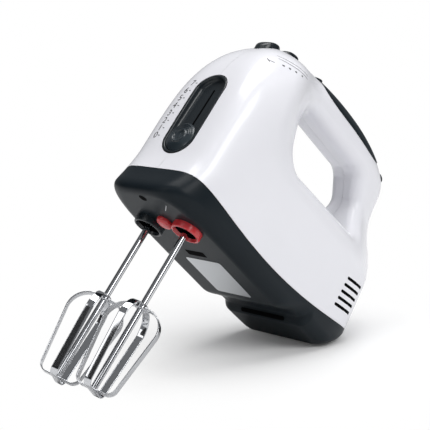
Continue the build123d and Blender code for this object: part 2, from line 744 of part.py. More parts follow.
# Two bent strip loops crossing at right angles, the second nested inside the first
with BuildPart() as beater_wings_left:
    for turn, nest in ((WING_PHASE, 0), (WING_PHASE + 90, STRIP_THICK)):
        c = cos(radians(turn))
        s = sin(radians(turn))
        with BuildSketch(Plane(origin=(0, SOCKET_Y, 0), x_dir=(c, s, 0), z_dir=(s, -c, 0))) as loop:
            Polygon(
                (-WING_R_BOTTOM, nest - WING_BOTTOM),
                (WING_R_BOTTOM, nest - WING_BOTTOM),
                (WING_R_TOP, -nest - WING_TOP),
                (-WING_R_TOP, -nest - WING_TOP),
                align=None,
            )
            fillet(loop.vertices().group_by(Axis.Y)[-1], SHOULDER_ROUND)
            fillet(loop.vertices().group_by(Axis.Y)[0], TIP_ROUND)
            offset(amount=-STRIP_THICK, mode=Mode.SUBTRACT)
        extrude(amount=STRIP_WIDTH / 2, both=True)
    with BuildSketch(Plane.XY.offset(-WING_TOP - HUB_HEIGHT + 0.6)):
        with Locations((0, SOCKET_Y)):
            Circle(HUB_R)
    extrude(amount=HUB_HEIGHT)
    with BuildSketch(Plane.XY.offset(2 * STRIP_THICK - WING_BOTTOM)):
        with Locations((0, SOCKET_Y)):
            Circle(ROD_R)
    extrude(amount=WING_BOTTOM, mode=Mode.SUBTRACT)

with BuildPart() as beater_wings_right:
    with Locations(Location((0, -SOCKET_Y, 0), (0, 0, PHASE_STEP))):
        add(Location((0, -SOCKET_Y, 0)) * beater_wings_left.part)

# Fixed speed track: a stadium let into the nose, with a sliding pocket, a slit and two ribs for the board
with BuildPart() as speed_track:
    add(track_room.part)
    add(body.part, mode=Mode.INTERSECT)
    with BuildSketch(TRACK.offset(-board_top)):
        with Locations((10, 0), (-10, 0)):
            Rectangle(2, TRACK_LENGTH - 12)
    extrude(amount=board_top - track_back)
    with BuildSketch(TRACK.offset(-POCKET_DEPTH)):
        SlotOverall(pocket_length, pocket_width, rotation=90)
    extrude(amount=20, mode=Mode.SUBTRACT)
    with BuildSketch(TRACK.offset(-track_back - 1)):
        SlotOverall(SLIDER_TRAVEL + 7.0, SLIT, rotation=90)
    extrude(amount=TRACK_FLOOR + 2, mode=Mode.SUBTRACT)

with BuildPart() as speed_switch:
    with BuildSketch(TRACK.offset(-board_top - BOARD_THICK)):
        Rectangle(22, TRACK_LENGTH - 8)
    extrude(amount=BOARD_THICK)

# Round thumb piece with a dished face and a raised ring
with BuildPart() as speed_slider:
    with BuildSketch(TRACK.offset(RUN_GAP - POCKET_DEPTH)):
        with Locations((0, slider_start)):
            Circle(slider_size / 2)
    extrude(amount=POCKET_DEPTH - RUN_GAP + SLIDER_RISE)
    fillet(speed_slider.faces().sort_by(Axis.X)[-1].edges(), 1.2)
    with BuildSketch(TRACK.offset(SLIDER_RISE - 0.8)):
        with Locations((0, slider_start)):
            Circle(6.6)
            Circle(4.6, mode=Mode.SUBTRACT)
    extrude(amount=5, mode=Mode.SUBTRACT)
    with BuildSketch(TRACK.offset(-wiper_top)):
        with Locations((0, slider_start)):
            Rectangle(SLIT - 0.8, 6)
    extrude(amount=wiper_top - POCKET_DEPTH + RUN_GAP)

with BuildPart() as switch_wiper:
    with BuildSketch(TRACK.offset(-wiper_top - WIPER_THICK)):
        with Locations((0, slider_start)):
            Rectangle(8, 8)
    extrude(amount=WIPER_THICK)

# Push button for letting go of the beaters, rounded in both views
with BuildPart() as eject_button:
    with BuildSketch(Plane.XY.offset(stem_top)):
        with Locations((eject_mid, 0)):
            SlotOverall(eject_long, 2 * EJECT_HALF)
    extrude(amount=EJECT_CROWN + 1 - stem_top)
    with BuildSketch(Plane.XZ):
        with BuildLine():
            crown = Spline(
                (EJECT_FRONT + 1, EJECT_CROWN - 15),
                (EJECT_FRONT - 3.5, EJECT_CROWN - 5),
                (1, EJECT_CROWN),
                (EJECT_REAR - 1, EJECT_CROWN - 2.2),
            )
            Polyline(crown @ 1, (EJECT_REAR - 1, stem_top - 1), (EJECT_FRONT + 1, stem_top - 1), crown @ 0)
        make_face()
    extrude(amount=20, both=True, mode=Mode.INTERSECT)
    with BuildSketch(Plane.YZ.offset(EJECT_REAR - 2)):
        with Locations((0, EJECT_CROWN - 24)):
            RectangleRounded(2 * EJECT_HALF + 1, 48, 5)
    extrude(amount=eject_long + 4, mode=Mode.INTERSECT)

with BuildPart() as ejector_fork:
    with BuildSketch(Plane.XY.offset(yoke_low)):
        with Locations((2, 0)):
            RectangleRounded(14, 2 * SOCKET_Y + 10, 3)
    extrude(amount=yoke_thick)
    with BuildSketch(Plane.XY.offset(yoke_low + yoke_thick)):
        with Locations((stem_x, 0)):
            Rectangle(8, 8)
    extrude(amount=stem_top - yoke_low - yoke_thick)
    with BuildSketch(Plane.XY.offset(ROD_TOP + RUN_GAP)):
        with Locations(*SOCKETS):
            Circle(ROD_R - 0.2)
    extrude(amount=yoke_low - ROD_TOP - RUN_GAP)

with BuildPart() as turbo_button:
    with BuildSketch(Plane.XY.offset(CAVITY_TOP - 3)):
        with Locations((turbo_mid, 0)):
            SlotOverall(turbo_long, 2 * TURBO_HALF)
    extrude(amount=TURBO_CROWN - CAVITY_TOP + 4)
    with BuildSketch(Plane.XZ):
        with BuildLine():
            hump = Spline(
                (TURBO_FRONT + 1, TURBO_CROWN - 5.5),
                (TURBO_FRONT - 7.8, TURBO_CROWN - 0.8),
                (TURBO_REAR + 5, TURBO_CROWN),
                (TURBO_REAR - 1, TURBO_CROWN - 1.8),
            )
            Polyline(hump @ 1, (TURBO_REAR - 1, CAVITY_TOP - 5), (TURBO_FRONT + 1, CAVITY_TOP - 5), hump @ 0)
        make_face()
    extrude(amount=20, both=True, mode=Mode.INTERSECT)
    with BuildSketch(Plane.YZ.offset(TURBO_REAR - 2)):
        with Locations((0, TURBO_CROWN - 24)):
            RectangleRounded(2 * TURBO_HALF + 1, 48, 4)
    extrude(amount=turbo_long + 4, mode=Mode.INTERSECT)

# Switch under the turbo button, hung from the roof of the head
with BuildPart() as turbo_switch:
    with BuildSketch(Plane.XY.offset(CAVITY_TOP - 13)):
        with Locations((turbo_mid, 0)):
            Rectangle(turbo_long, 2 * TURBO_HALF + 8)
    extrude(amount=13)
    with BuildSketch(Plane.XY.offset(CAVITY_TOP - 3 - TURBO_STROKE - RUN_GAP)):
        with Locations((turbo_mid, 0)):
            Rectangle(turbo_long + 2, 2 * TURBO_HALF + 2 * BUTTON_GAP)
    extrude(amount=20, mode=Mode.SUBTRACT)

pieces = {
    "housing_left": housing_left,
    "housing_right": housing_right,
    "base_cover": base_cover,
    "handle_grip": handle_grip,
    "heel_feet": heel_feet,
    "base_screw": base_screw,
    "cord_inlet": cord_inlet,
    "socket_collar_left": socket_collar_left,
    "socket_collar_right": socket_collar_right,
    "marker_tab": marker_tab,
    "rating_plate": rating_plate,
    "speed_track": speed_track,
    "speed_switch": speed_switch,
    "gear_frame": gear_frame,
    "frame_screws": frame_screws,
    "field_core": field_core,
    "field_coils": field_coils,
    "front_bearing": front_bearing,
    "rear_bearing": rear_bearing,
    "brush_holders": brush_holders,
    "carbon_brushes": carbon_brushes,
    "spindle_bushes": spindle_bushes,
    "turbo_switch": turbo_switch,
    "worm_shaft": worm_shaft,
    "armature_core": armature_core,
    "armature_windings": armature_windings,
    "commutator": commutator,
    "cooling_fan": cooling_fan,
    "drive_gear_left": drive_gear_left,
    "drive_gear_right": drive_gear_right,
    "spindle_left": spindle_left,
    "spindle_right": spindle_right,
    "beater_shaft_left": beater_shaft_left,
    "beater_shaft_right": beater_shaft_right,
    "beater_wings_left": beater_wings_left,
    "beater_wings_right": beater_wings_right,
    "eject_button": eject_button,
    "ejector_fork": ejector_fork,
    "turbo_button": turbo_button,
    "speed_slider": speed_slider,
    "switch_wiper": switch_wiper,
}

# Stand the mixer on the floor with the origin under the middle of its bounding box
LEAN = Rotation(0, -PITCH, 0)
standing = {name: LEAN * piece.part for name, piece in pieces.items()}
boxes = [piece.bounding_box() for piece in standing.values()]
middle_x = (min(b.min.X for b in boxes) + max(b.max.X for b in boxes)) / 2
middle_y = (min(b.min.Y for b in boxes) + max(b.max.Y for b in boxes)) / 2
SHIFT = Location((-middle_x, -middle_y, -min(b.min.Z for b in boxes)))
for name, piece in standing.items():
    placed = SHIFT * piece
    placed.label = name
    export_step(placed, f"parts/{name}.step")
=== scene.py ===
"""Hand mixer on its heel feet and beater tips: skins, metalwork, markings and a pale studio stage."""

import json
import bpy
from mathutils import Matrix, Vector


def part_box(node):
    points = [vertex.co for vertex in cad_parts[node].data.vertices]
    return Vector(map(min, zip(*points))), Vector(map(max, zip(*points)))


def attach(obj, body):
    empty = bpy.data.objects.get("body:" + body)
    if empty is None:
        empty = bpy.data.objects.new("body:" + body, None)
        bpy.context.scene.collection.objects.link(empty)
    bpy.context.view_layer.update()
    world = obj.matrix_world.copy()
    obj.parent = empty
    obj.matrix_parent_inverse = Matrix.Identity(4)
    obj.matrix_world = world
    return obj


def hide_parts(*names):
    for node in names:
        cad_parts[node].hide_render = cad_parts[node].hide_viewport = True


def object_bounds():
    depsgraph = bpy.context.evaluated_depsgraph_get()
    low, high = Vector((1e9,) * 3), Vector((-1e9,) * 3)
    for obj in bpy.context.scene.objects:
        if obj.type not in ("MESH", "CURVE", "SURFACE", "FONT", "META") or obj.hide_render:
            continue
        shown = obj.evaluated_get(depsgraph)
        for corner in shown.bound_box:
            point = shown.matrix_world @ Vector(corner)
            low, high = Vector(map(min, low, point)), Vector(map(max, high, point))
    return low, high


bl_info = {
    "name": "Hand Mixer",
    "version": (1, 0, 0),
    "blender": (4, 5, 0),
    "location": "View3D > Sidebar > Mixer",
    "description": "Builds the skins, metalwork and markings of a hand mixer round its packed frame",
    "category": "Object",
}

import bmesh
import bpy
import numpy as np
from mathutils import Matrix, Vector

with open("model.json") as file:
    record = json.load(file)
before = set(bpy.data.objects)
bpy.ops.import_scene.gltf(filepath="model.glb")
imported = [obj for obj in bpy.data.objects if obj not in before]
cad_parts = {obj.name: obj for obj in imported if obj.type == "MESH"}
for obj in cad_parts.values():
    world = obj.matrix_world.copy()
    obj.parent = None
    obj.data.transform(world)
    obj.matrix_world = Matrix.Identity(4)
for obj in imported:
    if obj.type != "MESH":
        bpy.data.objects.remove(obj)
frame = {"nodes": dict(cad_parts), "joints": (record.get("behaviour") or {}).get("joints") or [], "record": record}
CAD_BOX = [list(corner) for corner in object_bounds()]

PER_METRE = 1000.0
WELD = 1e-6
CUT_WELD = 1e-7

# Angles, in degrees, past which an edge is drawn sharp
EDGE_ANGLE = 40.0
SKIN_EDGE_ANGLE = 50.0
CONTROL_EDGE_ANGLE = 60.0
THUMB_EDGE_ANGLE = 70.0

# The mixer's own frame, in millimetres: X to the nose, Y to its left, Z away from the underside
MOTOR = next(j for j in frame["joints"] if j["name"] == "rotor_spin")
MOTOR_HEIGHT = 36.0
AHEAD = np.array(MOTOR["axis"])
LEFT = np.array([0.0, 1.0, 0.0])
UP = np.array([-AHEAD[2], 0.0, AHEAD[0]])
HOME = np.array(MOTOR["pos_m"]) - UP * MOTOR_HEIGHT / PER_METRE
FLOOR_DEPTH = HOME[2] * PER_METRE
FOOT_HEIGHT = 2.0

# Side view of the housing: nose, chin, tail, heel and crown
NOSE = 30.5
NOSE_DROP = 2.0
CHIN = 12.0
CHIN_HEIGHT = 40.0
TAIL = -168.0
TAIL_LEAN = 7.5
LEAN_LOW = 82.0
LEAN_RISE = 50.0
HEEL_KICK = 4.0
KICK_HEIGHT = 70.0
TOP = 163.0
CROWN_X = -92.0
CROWN_FALL_AHEAD = 5.5
CROWN_RUN_AHEAD = 58.0
CROWN_FALL_BEHIND = 5.0
CROWN_RUN_BEHIND = 44.0
GRIP_START = -75.0
GRIP_END = -138.0
FRONT_SHOULDER = 70.0
REAR_SHOULDER = 110.0
SHOULDER_POWER = 3.0
LAST_SECTION = 154.0

# Breadth of the housing: head, neck, handle and roof
HALF_WIDTH = 42.5
HANDLE_HALF = 16.5
HEAD_WAIST = 76.0
HEAD_TOP = 161.0
HEAD_POWER = 2.8
NECK_BLEND = 2.0
NECK_LOW = 62.0
NECK_RISE = 60.0
NECK_FRONT = 2.0
NECK_RUN = 50.0
BASE_DRAW = 0.06
ROOF_DEPTH = 17.0
ROOF_POWER = 2.2
ROOF_SEARCH = 28.0
NOSE_PROBE = 20.0

# Exponents of the level sections, and how they ease with height
NOSE_POWER = 6.0
NOSE_EASE = 2.7
NOSE_EASE_LOW = 60.0
NOSE_EASE_RISE = 85.0
CHIN_EASE = 2.0
CHIN_EASE_HEIGHT = 30.0
TAIL_POWER = 5.0
TAIL_EASE = 1.7
TAIL_EASE_RISE = 150.0

# Underside: a ramp up ahead of the heel and a step back down, and the rounded edges
RAMP_X = -85.0
RAMP_RUN = 23.0
RAMP_RISE = 7.0
STEP_X = -112.5
STEP_RUN = 5.0
STEP_FALL = 4.0
BOTTOM_ROUND = 9.0
HEEL_ROUND = 4.0

# Finger opening in the side view
HOLE_ROUND = 12.0
HOLE_RIM = 10.0
HOLE = np.array([(-30, 77.5), (-42.5, 132), (-119, 134), (-133, 114), (-128, 85)], float)
HOLE_CENTRE = np.array([-85.0, 108.0])

# Grid of the skin: its rays, and the rows over the flank, down the opening's wall and under the base
SKIN_RAYS = 640
SKIN_ROWS = 120
WALL_ROWS = 13
UNDER_ROWS = 43
EDGE_CROWDING = 3.4
HOLE_REACH = 90.0
RIM_CLEAR = 4.0
RIM_STEP = 1e-6
BODY_REACH = 260.0
SEAM_LOW = 13.4
SEAM_MIDDLE = -50.0
SEAM_RADIUS = 435.0

# Grip cap and its lip
GRIP_FRONT = -45.0
GRIP_REAR = -136.0
GRIP_BOW = 12.6
GRIP_BOW_POWER = 2.6
GRIP_BOW_RISE = 0.4
GRIP_PROUD = 0.75
GRIP_SINK = 0.15
GRIP_EDGE_POWER = 24.0
LIP_FRONT = -36.0
LIP_LENGTH = 14.5
LIP_HALF = 7.0
LIP_RISE = 3.2
LIP_SINK = 0.25
LIP_POWER = 3.0
LIP_RAMP = 0.85
LIP_BROW = 0.8
LIP_BACK = 0.2

# Sockets: outlines of radius and height about each axis, and the marker tab between them
SOCKET_Y = 17.5
COLLAR = [(10.4, 0.6), (10.1, -4.5), (8.7, -4.5), (6.2, 2.2), (8.0, 2.2), (8.0, 0.6), (10.4, 0.6)]
COLLAR_ROUNDS = [0.9, 0.4, 0.3, 0.0, 0.0]
# Throat inside each collar: black, as painted shade for the shade deep in the socket
THROAT = [(7.86, -2.5), (6.1, 1.4), (5.7, 8.0)]
THROAT_ROUNDS = [3.0]
TAB_X = 4.4
TAB_HALF_LENGTH = 6.2
TAB_HALF_WIDTH = 5.6
TAB_ROOT = 0.6
TAB_HEIGHT = 3.8
TAB_POWER = 3.6

# Beaters: rod and hub outlines of radius and height, and the strip loops
ROD = [(0.0, -117.0), (2.2, -117.0), (2.2, -62.0), (2.2, 2.0), (2.2, 47.2), (1.4, 48.0), (0.0, 48.0)]
ROD_COUNT = 48
HUB = [(2.25, -57.4), (4.0, -57.4), (4.0, -60.9), (2.25, -60.9)]
HUB_ROUNDS = [0.8, 0.8]
HUB_COUNT = 40
WING_PHASE = 22.5
PHASE_STEP = 11.0
LOOP_TIP = -119.0
LOOP_TOP = -58.0
LOOP_TIP_HALF = 13.6
LOOP_TOP_HALF = 21.4
LOOP_ROUNDS = [6.0, 14.0, 14.0, 6.0]
LOOP_STEPS = 22
LOOP_MIDDLE = np.array([0.0, -88.0])
STRIP_WIDTH = 5.0
STRIP_COUNT = 28
STRIP_FACE_POWER = 0.22
STRIP_EDGE_POWER = 0.45

# Speed track: outlines of radius and height over its plane
TRACK_LOW = 36.0
TRACK_HIGH = 100.0
TRACK_RADIUS = 12.6
TRACK_LAP = 0.9
TRACK_REACH = 8.0
TRACK_COUNT = 240
TRACK_WALL = 1.4
POCKET_FLOOR = -3.45
TRACK_RIM = np.array(
    [(13.3, -0.5), (13.25, 0.0), (13.1, 0.16), (12.7, 0.34)]
    + [(12.2, 0.36), (11.8, 0.2), (11.55, -0.2), (11.4, -0.8)]
)
TRACK_WELL = np.array(
    [(11.25, -0.9), (11.1, -1.6), (10.6, -2.5), (9.8, -3.05)]
    + [(8.4, -3.35), (5.0, -3.42), (0.0, POCKET_FLOOR)]
)
# Ring round the tray and strip along its floor slit: black, as painted shade for the shadow in the gap and the
# slit
TRACK_GAP = np.array([(13.75, 0.05), (13.2, 0.07)])
SLIT_HALF = 0.8
SLIT_RUN = 22.0
SLIT_LIFT = 0.08

# Thumb slider: a disc with a ring round a dished middle, ribs over its upper half and a short bar
SLIDER_RADIUS = 10.8
SLIDER_GAP = 0.4
DISC_RINGS = 118
DISC_FACE = 10.5
DISC_BEVEL = 10.7
DISC_TOP = 1.5
DISC_FALL = 1.3
DROP_DEPTH = 1.0
DROP_START = 5.5
DROP_RUN = 4.5
RING_RADIUS = 4.9
RING_HALF = 1.0
RING_HEIGHT = 0.8
DISH_RADIUS = 4.3
DISH_DEPTH = 0.7
RIB_RADII = (6.9, 8.2, 9.5)
RIB_HALF = 0.55
RIB_HEIGHT = 0.5
RIB_START = 0.05
RIB_EASE = 0.4
BAR_HALF = 0.7
BAR_REACH = 1.2
BAR_END = 0.8
BAR_HEIGHT = 0.4
SLIDER_SKIRT = np.array([(SLIDER_RADIUS, -0.8), (10.1, -2.3), (8.4, -3.05), (0.0, -3.1)])

# Top lines of the push buttons
BUTTON_POWER = 5
SKIRT_ROWS = 7
EJECT_TOP = 150.0
EJECT_PEAK = 0.6
EJECT_FALL_AHEAD = 0.04
EJECT_FALL_BEHIND = 0.065
TURBO_TOP = 157.6
TURBO_PEAK = -20.0
TURBO_FALL = 0.022

# Cooling slots, heel slot, and the slot, plate and screw hole of the underside; the slots and the screw hole are
# black sheets of painted shade
SLOT_HALF = 1.15
VENTS = 5
VENT_X = -141.2
VENT_Z = 55.2
VENT_STEP = 5.35
VENT_RUN = 11.2
VENT_TILT = 12.5
VENT_LIFT = 0.12
VENT_SINK = 0.25
LAST_RING = 0.96
HEEL_SLOT_X = -115.0
HEEL_SLOT_Z = 5.0
HEEL_SLOT_RUN = 19.3
HEEL_SLOT_LIFT = 0.25
BOX_POWER = 0.1
UNDER_DEPTH = -0.06
UNDER_SLOT_X = -32.0
UNDER_SLOT_HALF = (3.0, 8.5)
PLATE_X = -60.6
PLATE_HALF = (21.0, 16.2)
PLATE_DEPTH = -0.14
PLATE_PROUD = 0.1
SCREW_X = 30.0
SCREW_RADIUS = 2.9

# Printed scale: its numerals stand in a bow beside the track
PRINT_LIFT = 0.08
NUMERALS = 8
NUMERAL_EM = 1.4
NUMERAL_STEPS = 6
SCALE_Y = -23.2
SCALE_BOW = 0.0122
SCALE_Z = 48.2
SCALE_STEP = 6.05
SCALE_GROWTH = 0.045
TICK_SHIFT = 2.7
TICK_LENGTH = 1.6
TICK_HALF = 0.28

# Printed marks on the left flank, by place in the side view, and a painted highlight by the sockets: a light strip
# for the glint on a step's edge
FLANK_DOTS = ((11.4, 125.0), (6.8, 126.4), (1.7, 127.9), (-4.7, 129.9))
DOT_LENGTH = 1.6
DOT_RISE = 0.5
DOT_WIDTH = 1.1
FLANK_ARCS = ((0.0, 0.42), (2.4, 0.34))
ARC_X = 14.0
ARC_Z = 128.8
ARC_LENGTH = 27.0
ARC_RISE = 5.2
ARC_SAG = 0.9
FLANK_TICK = (("stem", (19.3, 122.6), (-2.5, 0.3), 0.5), ("bar", (19.4, 121.4), (0.5, 2.4), 0.6))
# Painted highlight by the sockets: place, aim, length and half breadth of a light strip
SOCKET_GLINT = (21.7, 14.5, -0.1)
SOCKET_GLINT_AIM = (0.74, 0.67)
SOCKET_GLINT_LENGTH = 8.5
SOCKET_GLINT_HALF = 0.22

# Finishes
COAT_ROUGHNESS = 0.08
DRIFT_SCALE = 18.0
DRIFT_DETAIL = 3.0
DRIFT_LOW = 0.3
DRIFT_HIGH = 0.7
ROUGH_LOW = 0.88
ROUGH_HIGH = 1.12
GRAIN_DETAIL = 2.0
GRAIN_DEPTH = 0.0002

# Looks: colour, or the panel value that holds it, roughness, grain, grain size in millimetres, tint, coat,
# metal and specular
LOOKS = {
    "white_moulding": ("shell", 0.2, 0.02, 2.0, 0.012, 0.15, 0.0, 0.4),
    "slate_moulding": ("base", 0.36, 0.10, 0.6, 0.07, 0.0, 0.0, 0.13),
    "slate_gloss": ("control", 0.27, 0.03, 1.2, 0.05, 0.12, 0.0, 0.4),
    # Lighter copy of the controls' slate for the thumb slider: painted light
    "slate_thumb": ("control", 0.24, 0.03, 1.2, 0.05, 0.15, 0.0, 0.5),
    "red_moulding": ("socket", 0.26, 0.04, 1.0, 0.05, 0.2, 0.0, 0.5),
    "grey_ink": ("ink", 0.5, 0.05, 0.5, 0.06, 0.0, 0.0, 0.5),
    # Black for holes, slots and gaps: painted shade standing for the shade inside them
    "black_recess": ((0.0015, 0.0015, 0.0018), 0.8, 0.05, 0.8, 0.2, 0.0, 0.0, 0.03),
    "chrome_plate": ((0.60, 0.61, 0.63), 0.06, 0.004, 6.0, 0.03, 0.0, 1.0, 0.5),
    "plate_grey": ((0.50, 0.52, 0.55), 0.38, 0.06, 0.8, 0.05, 0.0, 0.0, 0.5),
    "foot_rubber": ((0.012, 0.012, 0.013), 0.75, 0.3, 0.5, 0.15, 0.0, 0.0, 0.5),
    "turned_steel": ((0.45, 0.45, 0.47), 0.32, 0.1, 0.6, 0.06, 0.0, 1.0, 0.5),
    "natural_nylon": ((0.72, 0.71, 0.66), 0.5, 0.15, 0.8, 0.04, 0.0, 0.0, 0.5),
    "sintered_brass": ((0.62, 0.45, 0.2), 0.35, 0.1, 0.6, 0.08, 0.0, 1.0, 0.5),
    "lacquered_copper": ((0.55, 0.24, 0.1), 0.35, 0.2, 0.5, 0.12, 0.0, 1.0, 0.5),
    "pressed_carbon": ((0.02, 0.02, 0.02), 0.6, 0.2, 0.4, 0.2, 0.0, 0.0, 0.5),
    "card_black": ((0.006, 0.006, 0.007), 0.8, 0.05, 2.0, 0.3, 0.0, 0.0, 0.5),
}

# How much lighter than its panel value a look is: painted light, as on the thumb slider's lighter copy of the
# controls' slate
PAINTED_LIGHT_LIFTS = {"slate_thumb": 1.9}

# Look of each material slot of the nodes
SLOT_LOOKS = {
    "slate_plastic": "slate_moulding",
    "red_plastic": "red_moulding",
    "white_shell": "white_moulding",
    "rubber_black": "foot_rubber",
    "plate_grey": "plate_grey",
    "chrome": "chrome_plate",
    "steel": "turned_steel",
    "nylon": "natural_nylon",
    "brass": "sintered_brass",
    "copper": "lacquered_copper",
    "carbon": "pressed_carbon",
}

# Stage, in metres: floor, lamps by place from the mixer's middle, size and power, and cards by turn in
# degrees and reach
FLOOR_HALF = 6.0
FLOOR_TONE = (0.86, 0.86, 0.86, 1)
FLOOR_GLOW = 0.04
# Floor fade from lit diffuse to white glow about the heel, in metres: the floor stays darker round the heel,
# painted shade over the real shadow there
HEEL_SHADE_Y = 0.01
HEEL_SHADE_START = 0.012
HEEL_SHADE_END = 0.20
WHITE = (1, 1, 1, 1)
SKY_TONE = (0.95, 0.97, 1.0, 1)
SKY_STRENGTH = 0.23
LAMPS = (
    ("key_lamp", (0.08, 1.3, 1.0), (0.9, 0.9), 13.4),
    ("nose_lamp", (1.5, 0.0, 0.9), (0.8, 1.1), 4.6),
    ("top_lamp", (-0.2, 0.0, 1.6), (1.2, 1.2), 21.0),
)
CARDS = (
    ("card_left", 8.0, 0.75),
    ("card_right", 92.0, 0.75),
    ("card_far", 150.0, 0.8),
    ("card_low", -48.0, 0.5),
)
CARD_HALF_WIDTH = 0.16
CARD_HALF_HEIGHT = 0.3
CARD_MIDDLE = 0.34

# Camera: turn and rise in degrees, metres from HOME, and the focal length in pixels
CAMERA_TURN = 44.89
CAMERA_RISE = 9.02
CAMERA_DISTANCE = 0.757
CAMERA_RIGHT = 0.0293
CAMERA_UP = 0.00677
CAMERA_CLIP = 0.01
FOCAL_PIXELS = 1182.87
IMAGE_PIXELS = 430
SENSOR_WIDTH = 36.0


def stand(points):
    """Millimetres in the mixer's own frame to metres in the row frame: HOME + x AHEAD + y LEFT + z UP."""
    p = np.asarray(points, float) / PER_METRE
    return HOME + p[..., 0:1] * AHEAD + p[..., 1:2] * LEFT + p[..., 2:3] * UP


def smooth(u):
    """Ease 3u^2 - 2u^3 between 0 and 1."""
    u = np.clip(u, 0.0, 1.0)
    return u * u * (3 - 2 * u)


def quarter(u, n):
    """Quarter superellipse (1 - u^n)^(1/n), with u held between 0 and 1."""
    u = np.clip(u, 0.0, 1.0)
    return (1 - u**n) ** (1 / n)


def bump(u):
    """Round ridge (1 - u^2)^2 for |u| below 1."""
    return np.maximum(0.0, 1 - u * u) ** 2


def fade_up(z, height):
    """Square fade (1 - z/height)^2 from the underside up to a height, and 0 above it."""
    return np.maximum(0.0, 1 - z / height) ** 2


def signed_power(u, n):
    """Power |u|^n with the sign of u."""
    return np.sign(u) * np.abs(u) ** n


def round_in(depth, radius):
    """How far a rounded edge draws in at a depth below its crest: r - sqrt(r^2 - (r - d)^2)."""
    d = np.clip(depth, 0.0, radius)
    return radius - np.sqrt(radius**2 - (radius - d) ** 2)


def circle(count):
    """Even angles round a full turn, as a column."""
    return np.linspace(0, 2 * np.pi, count, endpoint=False)[:, None]


def halve(near, far, holds, rounds):
    """Narrows spans by halving: near moves to the middle where holds(middle) is true, and far elsewhere."""
    for _ in range(rounds):
        mid = (near + far) / 2
        kept = holds(mid)
        near = np.where(kept, mid, near)
        far = np.where(kept, far, mid)
    return near, far


def front(z):
    """Nose line: quarter superellipse over an upright face, with a chin pushed forward below."""
    arch = quarter((z - FRONT_SHOULDER) / (TOP - NOSE_DROP - FRONT_SHOULDER), SHOULDER_POWER)
    return GRIP_START + (NOSE - GRIP_START) * arch + CHIN * fade_up(z, CHIN_HEIGHT)


def rear(z):
    """Tail line: a heel kicked back, then a lean forward, then a round over into the handle."""
    tail = TAIL + TAIL_LEAN * smooth((z - LEAN_LOW) / LEAN_RISE)
    arch = quarter((z - REAR_SHOULDER) / (TOP - REAR_SHOULDER), SHOULDER_POWER)
    return GRIP_END + (tail - GRIP_END) * arch - HEEL_KICK * fade_up(z, KICK_HEIGHT)


def crown(x):
    """Ridge of the handle: two parabolas that meet at its highest point."""
    ahead = TOP - CROWN_FALL_AHEAD * (np.maximum(x - CROWN_X, 0.0) / CROWN_RUN_AHEAD) ** 2
    return ahead - CROWN_FALL_BEHIND * (np.maximum(CROWN_X - x, 0.0) / CROWN_RUN_BEHIND) ** 2


def half_width(x, z):
    """Half breadth: full in motor room and head, narrowing to the handle behind the head."""
    head = HALF_WIDTH * quarter((z - HEAD_WAIST) / (HEAD_TOP - HEAD_WAIST), HEAD_POWER)
    spare = head - HANDLE_HALF
    spare = (spare + np.sqrt(spare * spare + NECK_BLEND**2)) / 2
    narrow = smooth((z - NECK_LOW) / NECK_RISE) * smooth((NECK_FRONT - x) / NECK_RUN)
    return (HANDLE_HALF + spare * (1 - narrow)) * (1 - BASE_DRAW * fade_up(z, CHIN_HEIGHT))


def fullness(x, z):
    """Exponent of the level superellipse: blunt at the nose, plainer behind the middle."""
    blunt = NOSE_POWER - NOSE_EASE * smooth((z - NOSE_EASE_LOW) / NOSE_EASE_RISE)
    blunt = blunt - CHIN_EASE * fade_up(z, CHIN_EASE_HEIGHT)
    plain = TAIL_POWER - TAIL_EASE * smooth(z / TAIL_EASE_RISE)
    return np.where(2 * x > front(z) + rear(z), blunt, plain)


def hollow(x):
    """Rise of the underside ahead of the heel: a ramp up, then a smaller step back down."""
    return RAMP_RISE * smooth((RAMP_X - x) / RAMP_RUN) - STEP_FALL * smooth((STEP_X - x) / STEP_RUN)


def seam(x):
    """Height of the seam between shell and base: a shallow arc, lowest under the motor."""
    return SEAM_LOW + (x - SEAM_MIDDLE) ** 2 / (2 * SEAM_RADIUS)


def heel_height(x, z):
    """Height of a point of the side view above the level heel."""
    return x * AHEAD[2] + z * AHEAD[0] + FLOOR_DEPTH - FOOT_HEIGHT


def cross(a, b):
    """Cross product of rows of plane vectors: a0 b1 - a1 b0."""
    return a[:, 0] * b[:, 1] - a[:, 1] * b[:, 0]


def hole_gap(x, z):
    """Distance outside the finger opening.

    The opening's outline is drawn in by its corner radius. The result is the distance to that drawn-in
    outline, negative within it, less the radius.
    """
    along = np.roll(HOLE, -1, axis=0) - HOLE
    along = along / np.linalg.norm(along, axis=1, keepdims=True)
    inward = np.stack([-along[:, 1], along[:, 0]], 1)
    inward *= np.sign(((HOLE_CENTRE - HOLE) * inward).sum(1))[:, None]
    drawn = HOLE + inward * HOLE_ROUND
    drawn_before = np.roll(drawn, 1, axis=0)
    along_before = np.roll(along, 1, axis=0)
    reach = cross(drawn - drawn_before, along) / cross(along_before, along)
    corner = drawn_before + along_before * reach[:, None]
    run = np.roll(corner, -1, axis=0) - corner
    p = np.stack([x, z], -1)[..., None, :]
    t = np.clip(((p - corner) * run).sum(-1) / (run * run).sum(-1), 0, 1)
    near = np.linalg.norm(p - corner - t[..., None] * run, axis=-1).min(-1)
    within = (((p - corner) * inward).sum(-1) > 0).all(-1)
    return np.where(within, -near, near) - HOLE_ROUND


